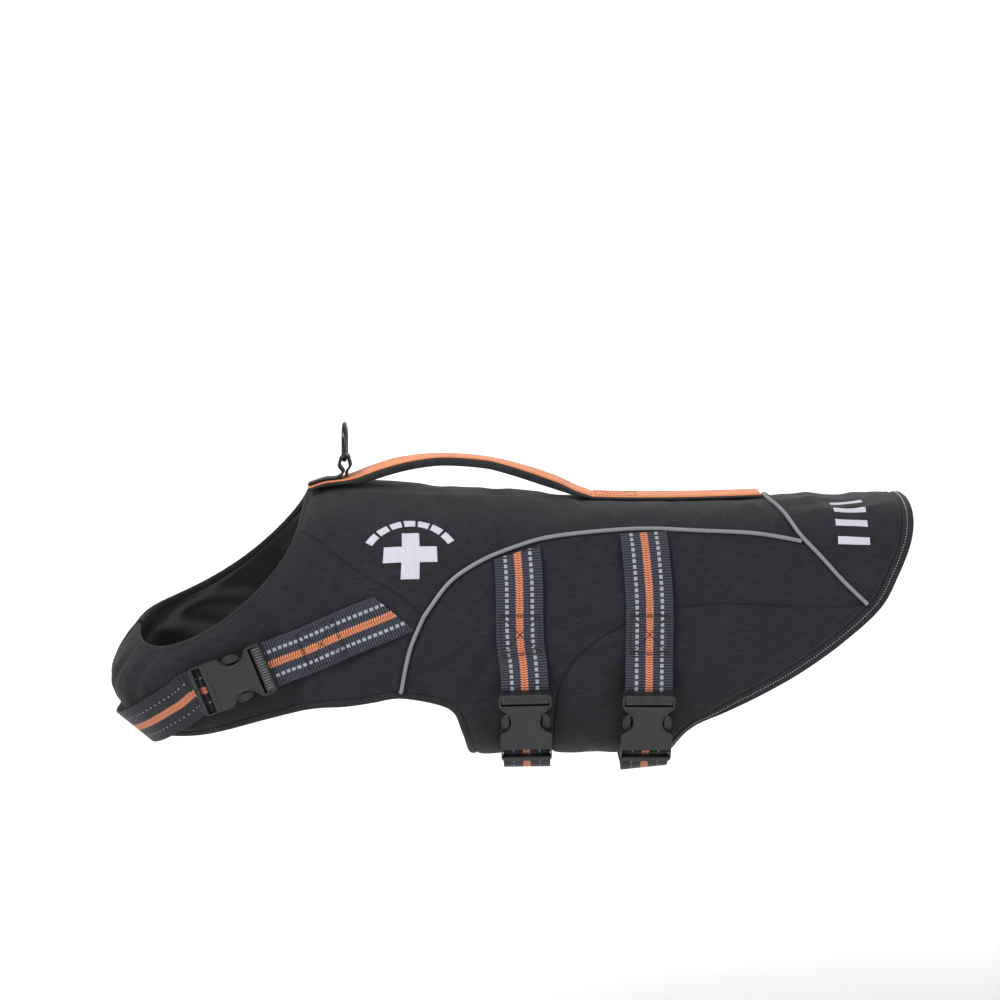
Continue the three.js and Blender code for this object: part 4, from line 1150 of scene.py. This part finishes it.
# %% Handle
HANDLE = [
    [-228, 0, 3.2], [-213, 0, 3.2], [-200, 0, 3.4], [-190, 25, 5.5], [-178, 29.5, 7], [-158, 36, 7.4],
    [-138, 40, 7.5], [-119, 41.6, 7.5], [-98, 41, 7.5], [-76, 38.4, 7.5], [-54, 32.8, 7.5], [-34, 26.4, 7.2],
    [-18, 20.4, 6.6], [-6, 14.6, 4.8], [6, 0, 3.2],
]
HANDLE_WIDTH, FACE_WIDTH, FACE_THICK, STRIP_BASE_THICK = 34 * MM, 29 * MM, 1.2 * MM, 1.4 * MM
STRIP_FROM, STRIP_TO = 6.4 * MM, 146 * MM
ROLL_X = np.array([-228, -205, -185, -158, -119, -76, -34, 6, 60, 146]) * MM
ROLL_DEGREES = [2, 2, 6, 6, 1, 0.5, 4, 3, 3, 2]  # the worn jacket leans a little to its left
_spine = np.arange(-5, 525, 1.0)
_ridges = [form(np.stack([_spine, 0 * _spine + a], -1)) for a in (-10, -5, 0, 5, 10)]


def crown(x):
    """The highest point of the back's outer face, across the width of a strip, at a place along the spine."""
    station = np.interp(x, _ridges[2][:, 0], _spine)
    return np.max([np.interp(station, _spine, ridge[:, 2]) for ridge in _ridges], 0) + PUFF


def band_facing(line):
    """The way that a band on the back faces: up, and leaning a little as the worn jacket does."""
    way = unit(np.gradient(line, axis=0))
    facing = np.stack([-way[:, 2], 0 * way[:, 1], way[:, 0]], -1)
    roll = np.radians(np.interp(line[:, 0], ROLL_X, ROLL_DEGREES))[:, None]
    return facing * np.cos(roll) + np.array([0, -1.0, 0]) * np.sin(roll)


def back_band(name, line, low, high, width, corner, materials):
    """A band along the spine. low and high are its faces' heights above the line at every step."""
    half = width / 2 - corner
    turn = np.linspace(0, 1, 5)[None, :] * math.pi / 2
    low, high = np.asarray(low)[:, None], np.asarray(high)[:, None]
    x = np.linspace(-1, 1, 13)[None]
    round_up = corner * np.minimum(1, (high - low) / (2 * corner))
    right_x, right_z = half + corner * np.sin(turn), high - round_up * (1 - np.cos(turn))
    under_z = low + round_up * (1 - np.cos(turn))
    xs = [half * x + 0 * low, (right_x + 0 * low)[:, 1:], (right_x + 0 * low)[:, ::-1][:, :-1]]
    xs += [-half * x + 0 * low, -(right_x + 0 * low)[:, 1:], -(right_x + 0 * low)[:, ::-1][:, :-1]]
    zs = [high + 0 * x, right_z[:, 1:], under_z[:, ::-1][:, :-1]]
    zs += [low + 0 * x, under_z[:, 1:], right_z[:, ::-1][:, :-1]]
    profile = np.stack([np.hstack(xs), np.hstack(zs)], -1)
    return swept(name, line, band_facing(line), profile, materials)


rows = np.array(HANDLE) * MM
rows[:, 1] = np.maximum(rows[:, 1], crown(rows[:, 0]) + 0.6 * MM + rows[:, 2])
handle_points = np.stack([rows[:, 0], 0 * rows[:, 0], rows[:, 1]], -1)
handle_path = through(handle_points, 2.5 * MM, rows[:, 2:])
handle_line, handle_thick = handle_path[:, :3], handle_path[:, 3]


def handle_top(x):
    return float(np.interp(x, handle_line[:, 0], handle_line[:, 2]))


# %% [markdown]
# The bright tape has a fine rib across it and a slightly uneven dye. Its rib is one wave along the tape, so
# the ribs stand across it, because its weft is thicker than its warp.

# %% Handle materials and pieces
bright_tape, bright_tree, bright_surface = shader(
    "polyester_tape_woven_bright", "#e8783a", 0.65,
    Specular_IOR_Level=0.25, Sheen_Weight=0.05, Sheen_Roughness=0.4,
)
bright_rib = wave(bright_tree, flat_place(bright_tree)[1], 1.8 * MM)
bright_place = node(bright_tree, "TexCoord").outputs["Object"]
bright_dye = node(bright_tree, "TexNoise", {"Vector": bright_place, "Scale": 1 / (14 * MM), "Detail": 3.0})
bright_tone = node(bright_tree, "Math", [bright_rib, bright_dye, bright_dye], operation="MULTIPLY_ADD")
bright_tones = {0: bright_tone, 6: linear("#c2683c"), 7: linear("#de9064")}
bright_mix = node(bright_tree, "Mix", bright_tones, data_type="RGBA")
set_surface(bright_tree, bright_surface, bright_mix, bright_rib, 0.15 * MM)

handle_cloth = oxford("polyester_grip_woven", "#1c1c1e", "#323235", pitch=1.6 * MM, roughness=0.7)

pad = back_band(
    "handle_pad_wrapped", handle_line, -handle_thick, np.full(len(handle_line), -FACE_THICK - 0.1 * MM),
    HANDLE_WIDTH, 1.55 * MM, [handle_cloth],
)
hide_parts("handle_pad")
face = back_band(
    "handle_face_tape", handle_line, np.full(len(handle_line), -FACE_THICK + 0.2 * MM), np.zeros(len(handle_line)),
    FACE_WIDTH, 0.5 * MM, [bright_tape],
)
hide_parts("handle_face")
length_of(handle_line)
print("handle tape", round(length_of(handle_line) * 1000), "mm")

strip_x = np.linspace(STRIP_FROM, STRIP_TO, 56)
strip_line = np.stack([strip_x, 0 * strip_x, crown(strip_x) + 0.6 * MM + STRIP_BASE_THICK], -1)
level = np.ones(len(strip_line))
base = back_band(
    "back_strip_band", strip_line, -STRIP_BASE_THICK * level, 0 * level, HANDLE_WIDTH, 0.6 * MM, [handle_cloth],
)
tape = back_band(
    "back_strip_tape", strip_line, 0.2 * MM * level, (FACE_THICK + 0.2 * MM) * level,
    FACE_WIDTH, 0.5 * MM, [bright_tape],
)
for piece, replaced, slot_name, width in (
    (base, "back_strip_base", "canvas", HANDLE_WIDTH), (tape, "back_strip_face", "bright_tape", FACE_WIDTH)
):
    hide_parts(replaced)
    length_of(strip_line)

# %% [markdown]
# ## The leash ring and its loop
#
# A D-ring of steel wire, chromed dark, stands in a loop of webbing at the front of the handle. It swings
# forward and back, so it rides on a body of its own. Its wire is round, and the straight side sits in the
# loop.

# %% Ring and loop
RING_X, RING_BAR_Z, RING_HEIGHT, RING_HALF, RING_WIRE = -197.5 * MM, 38.5 * MM, 28.8 * MM, 14 * MM, 2 * MM
LOOP_WIDTH, LOOP_THICK = 20 * MM, 2.0 * MM
chrome, chrome_tree, chrome_surface = shader("steel_dark_chromed", "#3d3e42", 0.16, Metallic=1.0)
chrome_place = node(chrome_tree, "TexCoord").outputs["Object"]
wear = node(chrome_tree, "TexNoise", {"Vector": chrome_place, "Scale": 1 / (5 * MM), "Detail": 5.0})
chrome_rough = node(chrome_tree, "Math", [wear, 0.25, 0.05], operation="MULTIPLY_ADD")
set_surface(chrome_tree, chrome_surface, None, wear, 0.03 * MM, 0.3, chrome_rough)


def ring_arc(y, z, radius, start, end, steps):
    turn = np.linspace(start, end, steps + 1)
    height = RING_BAR_Z + z + radius * np.sin(turn)
    return np.stack([np.full(steps + 1, RING_X), y + radius * np.cos(turn), height], -1)


bend = 5 * MM
ring_path = np.vstack([
    ring_arc(RING_HALF - bend, bend, bend, -math.pi / 2, 0, 10)[:-1],
    ring_arc(0, RING_HEIGHT - RING_HALF, RING_HALF, 0, math.pi, 40),
    ring_arc(-RING_HALF + bend, bend, bend, math.pi, 1.5 * math.pi, 10)[1:],
])
bar = np.linspace(ring_path[-1], ring_path[0], 12)[1:-1]
ring_path = np.vstack([ring_path, bar])
ring_facing = np.broadcast_to([1.0, 0, 0], ring_path.shape)
leash_ring = swept(
    "leash_ring_wire", ring_path, ring_facing, round_section(RING_WIRE, 18), [chrome], closed=True, body="ring"
)
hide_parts("leash_ring")

loop_radius = RING_WIRE + 0.4 * MM + LOOP_THICK / 2
foot = handle_top(RING_X)
turn = np.linspace(0, math.pi, 15)
over_bar = np.stack([RING_X + loop_radius * np.cos(turn), 0 * turn, RING_BAR_Z + loop_radius * np.sin(turn)], -1)
waist, spread = foot + 3.6 * MM, 4.6 * MM
leg = lambda x, z: [RING_X + x, 0, z]
tab = [[x, 0, handle_top(x) + 0.4 * MM + 1.0 * MM] for x in np.array([-203, -214, -227.5]) * MM]
loop_points = np.array([
    leg(1.4 * MM, foot + 1.4 * MM), leg(1.3 * MM, waist + 0.4 * MM), leg(spread, (waist + RING_BAR_Z) / 2 + 1 * MM),
    *over_bar, leg(-spread, (waist + RING_BAR_Z) / 2 + 1 * MM), leg(-1.5 * MM, waist + 0.6 * MM),
    leg(-2.4 * MM, foot + 2.8 * MM), *tab,
])
loop_path = through(loop_points, 1.0 * MM)
loop_way = unit(np.gradient(loop_path, axis=0))
loop_facing = np.stack([loop_way[:, 2], 0 * loop_way[:, 1], -loop_way[:, 0]], -1)
black_webbing = oxford("polyester_webbing_black_woven", "#131315", "#26262a", pitch=1.3 * MM, roughness=0.65)
loop_section = flat_section(LOOP_WIDTH, LOOP_THICK)
ring_loop = swept("ring_loop_webbing", loop_path, loop_facing, loop_section, [black_webbing])
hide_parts("ring_loop")
length_of(loop_path)
print("ring loop webbing", round(length_of(loop_path) * 1000), "mm")

# %% [markdown]
# ## The buckles
#
# Side-release buckles are moulded from acetal, a slippery and slightly waxy plastic. The mould leaves rounded
# edges and a very fine texture, so the surface is satin rather than shiny. The CAD parts already have the right
# shape. A bevel rounds their edges, and the ribs and raised rims of the mould are added on top.

# %% Buckle plastic and edges
acetal, acetal_tree, acetal_surface = shader("acetal_moulded_satin", "#232427", 0.42, IOR=1.48)
acetal_place = node(acetal_tree, "TexCoord").outputs["Object"]
pores = node(acetal_tree, "TexNoise", {"Vector": acetal_place, "Scale": 1 / (0.9 * MM), "Detail": 3.0})
handled = node(acetal_tree, "TexNoise", {"Vector": acetal_place, "Scale": 1 / (12 * MM), "Detail": 4.0})
acetal_tone = node(acetal_tree, "Mix", {0: handled, 6: linear("#161719"), 7: linear("#1f2023")}, data_type="RGBA")
acetal_rough = node(acetal_tree, "Math", [handled, 0.25, 0.3], operation="MULTIPLY_ADD")
set_surface(acetal_tree, acetal_surface, acetal_tone, pores, 0.04 * MM, 0.5, acetal_rough)

for name in STRAPS:
    for part in ("socket", "plug"):
        moulding = bpy.data.objects[f"{name}_buckle_{part}"]
        moulding.data.materials.clear()
        moulding.data.materials.append(acetal)
        rounding = moulding.modifiers.new("rounded edges", "BEVEL")
        rounding.width, rounding.segments, rounding.limit_method = 0.7 * MM, 3, "ANGLE"
        rounding.harden_normals = False

# %% [markdown]
# A ribbed bar over the webbing's slot gives the thumb a grip, and a thin raised rim follows the waist where
# the two prongs show, a small rounded ridge that is sunk halfway into the plastic.

# %% Ribs and rims
def grains(name, centres, ways, facings, length, radius, material, body="jacket"):
    """Many small rounded bars at once: ribs of plastic, or stitches whose ends dip into the cloth."""
    ways = unit(ways)
    across = unit(np.cross(ways, facings))
    up = np.cross(across, ways)
    reach = np.repeat([-0.5, -0.3, 0.3, 0.5], 6) * length
    thick = np.repeat([0.4, 1.0, 1.0, 0.4], 6) * radius
    sink = np.repeat([-0.6, 0, 0, -0.6], 6) * radius
    turn = np.tile(np.arange(6) * math.pi / 3, 4)
    side, height = thick * np.cos(turn), thick * np.sin(turn) + sink
    shape = lambda axis, value: axis[:, None] * value[None, :, None]
    points = centres[:, None] + shape(ways, reach) + shape(across, side) + shape(up, height)
    k = np.arange(24).reshape(4, 6)
    around = np.roll(k, -1, 1)
    quads = np.stack([k[:-1], around[:-1], around[1:], k[1:]], -1).reshape(-1, 4).tolist()
    one = quads + [k[0, ::-1].tolist(), k[3].tolist()]
    faces = [[v + 24 * i for v in face] for i in range(len(centres)) for face in one]
    uv = np.tile(np.stack([side, reach], -1), (len(centres), 1))
    return make(name, points.reshape(-1, 3), faces, uv, [material], body=body)


def in_buckle(frame, rows):
    rows = np.asarray(rows, float) * MM
    x, y, z, origin = frame
    return origin + rows[:, :1] * x + rows[:, 1:2] * y + rows[:, 2:] * z


# The thumb bar from the side: distance from its middle towards the plug, and height over the socket's face
GRIP_OUTLINE = [
    [-4.0, -2.4], [3.0, -0.3], [3.8, -0.2], [4.1, 0.2], [3.9, 0.7], [3.2, 1.0], [1.5, 1.1], [0, 1.1], [-1.5, 1.1],
    [-3.0, 1.0], [-4.0, 0.6], [-4.3, 0.0], [-4.3, -1.2],
]
WAIST = [[13.4, 17.9], [16.2, 14.4], [19.6, 11.6], [25, 10.5], [30.4, 11.1], [34.2, 14], [36.9, 18]]
PRONG = [[21.2, 14.6], [22.6, 17.2], [26, 18.7], [30.6, 18.3], [34.6, 16.3], [37.4, 15]]
for name in STRAPS:
    frame = straps[name]["frame"]
    rib_y = np.linspace(-18.6, 18.6, 190)
    bar_line = in_buckle(frame, np.stack([np.full(190, 4.0), rib_y, np.full(190, 9.9)], -1))
    rib_height = 0.55 * np.abs(np.sin(math.pi * rib_y / 2.2))[:, None] * (np.abs(rib_y) < 17.8)[:, None]
    outline = np.array(GRIP_OUTLINE)
    rise = np.where(outline[:, 1] > 0, 1, 0)[None] * rib_height
    front = np.where(outline[:, 0] < -4.1, 1, 0)[None] * rib_height
    section = np.stack([outline[None, :, 0] - front, outline[None, :, 1] + rise], -1) * MM
    facing = np.tile(frame[2], (190, 1))
    ribs = swept(f"{name}_buckle_grip", bar_line, facing, section * [-1, 1], [acetal])
    for side in (1, -1):
        for kind, rows, height, radius in (("rim", WAIST, 10.0, 0.5), ("prong_rim", PRONG, 7.0, 0.45)):
            line = in_buckle(frame, [[x, side * y, height] for x, y in rows])
            path = through(line, 1.0 * MM)
            facing = np.tile(frame[2], (len(path), 1))
            which = "left" if side > 0 else "right"
            rim = swept(f"{name}_buckle_{kind}_{which}", path, facing, round_section(radius * MM, 10), [acetal])
print("buckles finished:", len(STRAPS))

# %% [markdown]
# ## Stitching
#
# Sewing shows as rows of small stitches, each a short length of thread whose ends dive into the cloth. The hem
# is sewn with pale thread, and the rest with thread of the cloth's own dark colour. The rows follow the seams at
# a set distance and are dropped on to the finished cloth, so they ride over its swelling.

# %% Threads and the drop on to the cloth
def thread(name, colour):
    material, tree, surface = shader(name, colour, 0.55, Specular_IOR_Level=0.35, Sheen_Weight=0.1)
    ply = wave(tree, flat_place(tree)[1], 0.5 * MM)
    shade = node(tree, "Mix", {0: ply, 6: linear("#b0b0b0"), 7: linear("#ffffff")}, data_type="RGBA")
    toned = node(tree, "Mix", {0: 1.0, 6: linear(colour), 7: shade}, data_type="RGBA", blend_type="MULTIPLY")
    set_surface(tree, surface, toned, ply, 0.05 * MM)
    return material


pale_thread = thread("polyester_thread_pale", "#b2b2b6")
grey_thread = thread("polyester_thread_grey", "#36363b")
dark_thread = thread("polyester_thread_dark", "#141419")
bright_thread = thread("polyester_thread_bright", "#c2703f")

offset, skin_points, skin_faces = 0, [], []
for piece in [*panel_pieces.values(), *(bpy.data.objects[f"{n}_tape"] for n in (
    "neck_binding", "hem_binding", "low_binding_left", "low_binding_right"
))]:
    skin_points += [v.co.copy() for v in piece.data.vertices]
    skin_faces += [[i + offset for i in p.vertices] for p in piece.data.polygons]
    offset = len(skin_points)
skin = BVHTree.FromPolygons(skin_points, skin_faces)


def dropped(line, lift=0.0):
    """Places on the form, dropped on to the finished cloth, and the way that the cloth faces there."""
    start, facing = raised(line, np.full(line.shape[:-1], 9 * MM)), slopes(line)[2]
    shape = start.shape
    found = []
    for p, n in zip(start.reshape(-1, 3), facing.reshape(-1, 3)):
        hit = skin.ray_cast(Vector(p), -Vector(n), 16 * MM)[0]
        found.append(np.array(hit) + n * lift if hit is not None else p - n * 9 * MM)
    return np.array(found).reshape(shape), facing


def sewn(name, runs, pitch, length, radius, material):
    """Rows of stitches along paths. Each run is a path and the way that the cloth faces along it."""
    centres, ways, facings = [], [], []
    for path, facing in runs:
        travel = travelled(path)
        where = np.arange(pitch / 2, travel[-1], pitch)
        read = lambda rows: np.stack([np.interp(where, travel, column) for column in rows.T], -1)
        centres.append(read(path))
        ways.append(read(np.gradient(path, axis=0)))
        facings.append(read(facing))
    made = grains(name, np.vstack(centres), np.vstack(ways), np.vstack(facings), length, radius, material)
    print(name, len(np.vstack(centres)), "stitches")
    return made


# %% [markdown]
# The pale row on the hem follows the middle of its binding. A grey row a little above it and dark rows beside
# the seams are barely seen, but they catch the light here and there, as on the real jacket.

# %% Rows along the edges and seams
part_way = lambda line, edge, share: line[edge] + (line[edge + "_in"] - line[edge]) * share
whole_hem = joined(part_way(LEFT, "hem", 0.62), part_way(RIGHT, "hem", 0.62)[::-1])
hem_run = dropped(dense(whole_hem, 1 * MM), 0.15 * MM)
sewn("hem_stitches", [hem_run], 2.3 * MM, 0.95 * MM, 0.4 * MM, pale_thread)

grey_runs, dark_runs = [], []
for line, turn in ((LEFT, 1), (RIGHT, -1)):
    grey_runs.append(dropped(dense(beside(line["hem_in"], 2.6 * MM * turn), 1 * MM), 0.1 * MM))
    dark_runs.append(dropped(dense(part_way(line, "low", 0.8), 1 * MM), 0.1 * MM))
    dark_runs.append(dropped(dense(part_way(line, "neck", 0.8), 1 * MM), 0.1 * MM))
    for seam, distance in (("shoulder_seam", 2.4), ("side_seam", 2.4), ("chest_seam", 2.4)):
        inset = dense(line[seam], 1 * MM)[6:-6]
        dark_runs.append(dropped(beside(inset, distance * MM * turn), 0.1 * MM))
sewn("upper_hem_stitches", grey_runs, 2.8 * MM, 1.9 * MM, 0.28 * MM, grey_thread)
sewn("seam_stitches", dark_runs, 3.0 * MM, 2.2 * MM, 0.28 * MM, dark_thread)

# %% [markdown]
# The straps are tacked to the jacket with a box and a cross inside it, the usual way to make webbing bear a
# load. The same box holds the rear end of the handle. Two rows of thread in the tape's own colour run along it.

# %% Boxes on the straps and rows on the tape
def on_band(path, facing, across_along, lift):
    """Points at a distance across a band and a distance along it."""
    way, across, up = frames(path, facing)
    travel = travelled(path)
    u, t = np.asarray(across_along, float).T
    read = lambda rows: np.stack([np.interp(t, travel, column) for column in rows.T], -1)
    return read(path) + read(across) * u[:, None] + read(up) * lift, read(up)


def box_and_cross(path, facing, start, end, half, lift):
    """The lines of a sewn box with a cross in it, on a band."""
    corners = [(-half, start), (half, start), (half, end), (-half, end)]
    inner = 1.6 * MM
    lines = [(corners[i], corners[(i + 1) % 4]) for i in range(4)]
    lines += [((-half, start + inner), (half, start + inner)), ((-half, end - inner), (half, end - inner))]
    lines += [(corners[0], corners[2]), (corners[1], corners[3])]
    return [on_band(path, facing, np.linspace(p, q, 30), lift) for p, q in lines]


box_runs = []
for name, axis, low, high in (("neck", 0, -227, -197), ("girth_front", 2, -110, -78), ("girth_rear", 2, -110, -78)):
    path = straps[name]["sewn"]
    travel = travelled(path[:, :3])
    where = [float(np.interp(-value * MM, -path[:, axis], travel)) for value in (high, low)]
    box_runs += box_and_cross(path[:, :3], unit(path[:, 3:]), *where, 15.5 * MM, WEBBING_THICK / 2 + 0.15 * MM)
    print(name, "box from", [round(w * 1000) for w in where], "mm")
sewn("strap_box_stitches", box_runs, 2.6 * MM, 2.2 * MM, 0.42 * MM, dark_thread)


tape_runs = []
for line, lift in ((handle_line, 0.1 * MM), (strip_line, FACE_THICK + 0.3 * MM)):
    total = length_of(line)
    for side in (-1, 1):
        rows = np.linspace((side * 13.2 * MM, 2 * MM), (side * 13.2 * MM, total - 2 * MM), 160)
        tape_runs.append(on_band(line, band_facing(line), rows, lift))
tape_runs += box_and_cross(strip_line, band_facing(strip_line), 2.5 * MM, 38 * MM, 11 * MM, FACE_THICK + 0.35 * MM)
sewn("tape_stitches", tape_runs, 2.9 * MM, 2.2 * MM, 0.3 * MM, bright_thread)

# %% [markdown]
# ## Embroidery
#
# The white figures are satin stitch: thread laid side by side until it covers the cloth. Each figure is a low
# pad that follows the swelling of the panel. Fine grooves run along the thread, and light slides over it as
# over silk. A plain cross stands on each shoulder blade with a plain arch over it, and plain bars
# cross the rump.

# %% Satin stitch
satin, satin_tree, satin_surface = shader(
    "rayon_satin_stitch_white", "#bcbbc6", 0.45, Specular_IOR_Level=0.4, Sheen_Weight=0.2, Sheen_Roughness=0.3
)
satin_place = node(satin_tree, "TexCoord").outputs["Object"]
satin_uneven = node(satin_tree, "TexNoise", {"Vector": satin_place, "Scale": 1 / (3 * MM)})
satin_drift = node(satin_tree, "Math", [satin_uneven, 3.0], operation="MULTIPLY")
satin_lay = wave(satin_tree, flat_place(satin_tree)[0], 0.9 * MM, satin_drift)
satin_tone = node(satin_tree, "Mix", {0: satin_lay, 6: linear("#9b9aa8"), 7: linear("#cfced9")}, data_type="RGBA")
set_surface(satin_tree, satin_surface, satin_tone, satin_lay, 0.15 * MM)


def local_places(centre, offsets):
    """Places on the form at offsets in metres from a centre: first towards the tail, then up the side."""
    along, around, normal = slopes(centre)
    ahead = unit(np.array([1.0, 0, 0]) - normal[0] * normal)
    down = unit(np.cross(ahead, normal))
    down = down if down[2] < 0 else -down
    return centre + as_step(offsets[..., :1] * ahead - offsets[..., 1:] * down, along, around)


def figure(name, centre, shapes, lift=0.55 * MM):
    """Low pads of satin stitch. Each shape is a grid of offsets in metres from the centre."""
    points, faces, uvs = [], [], []
    for shape in shapes:
        places, facing = dropped(local_places(centre, shape))
        rows, columns = shape.shape[:2]
        i, j = np.linspace(0, 1, rows)[:, None], np.linspace(0, 1, columns)[None]
        round_off = np.minimum(1, 8 * np.minimum(np.minimum(i, 1 - i), np.minimum(j, 1 - j)) + 0.35)
        outer = places + facing * (lift * round_off)[..., None]
        inner = places - facing * 0.3 * MM
        p, f, _ = walled(outer, inner)
        faces += (f + sum(len(q) for q in points)).tolist()
        points.append(p)
        uvs.append(np.concatenate([shape.reshape(-1, 2)] * 2))
    made = make(name, np.vstack(points), faces, np.vstack(uvs), [satin])
    return made


def bar(p, q, half, steps=(14, 7)):
    """A straight bar between two offsets, in millimetres, with a half width."""
    p, q = np.array(p, float) * MM, np.array(q, float) * MM
    way = unit(q - p)
    side = np.array([-way[1], way[0]]) * half * MM
    s, t = np.linspace(0, 1, steps[0])[:, None, None], np.linspace(-1, 1, steps[1])[None, :, None]
    return p + (q - p) * s + side * t


CROSS_AT, ARM, REACH, LOW_ARM, LOW_REACH = [101, 56.6], 7.2, 21.5, 6.4, 18.8
cross = [
    bar((0, -LOW_REACH), (0, LOW_REACH), ARM, (34, 12)),
    bar((-REACH, 0), (-ARM, 0), LOW_ARM), bar((ARM, 0), (REACH, 0), LOW_ARM),
]
arch = []
for start in np.linspace(-59, 45, 7):
    turn, radius = np.radians(np.linspace(start, start + 14, 14))[:, None], np.linspace(36, 42.5, 7)[None]
    arch.append(np.stack([radius * np.sin(turn), radius * np.cos(turn) - 10], -1) * MM)
for side, turn in (("left", 1), ("right", -1)):
    figure(f"satin_cross_{side}", np.array([CROSS_AT[0], CROSS_AT[1] * turn]), cross)
    figure(f"satin_arch_{side}", np.array([CROSS_AT[0], CROSS_AT[1] * turn]), arch)
    for i, (station, angle) in enumerate(((448, 55), (447, 43), (447, 31), (446, 19))):
        figure(f"satin_bar_{side}_{i}", np.array([station, angle * turn]), [bar((-13, 0), (13, 0), 3.2, (16, 8))])
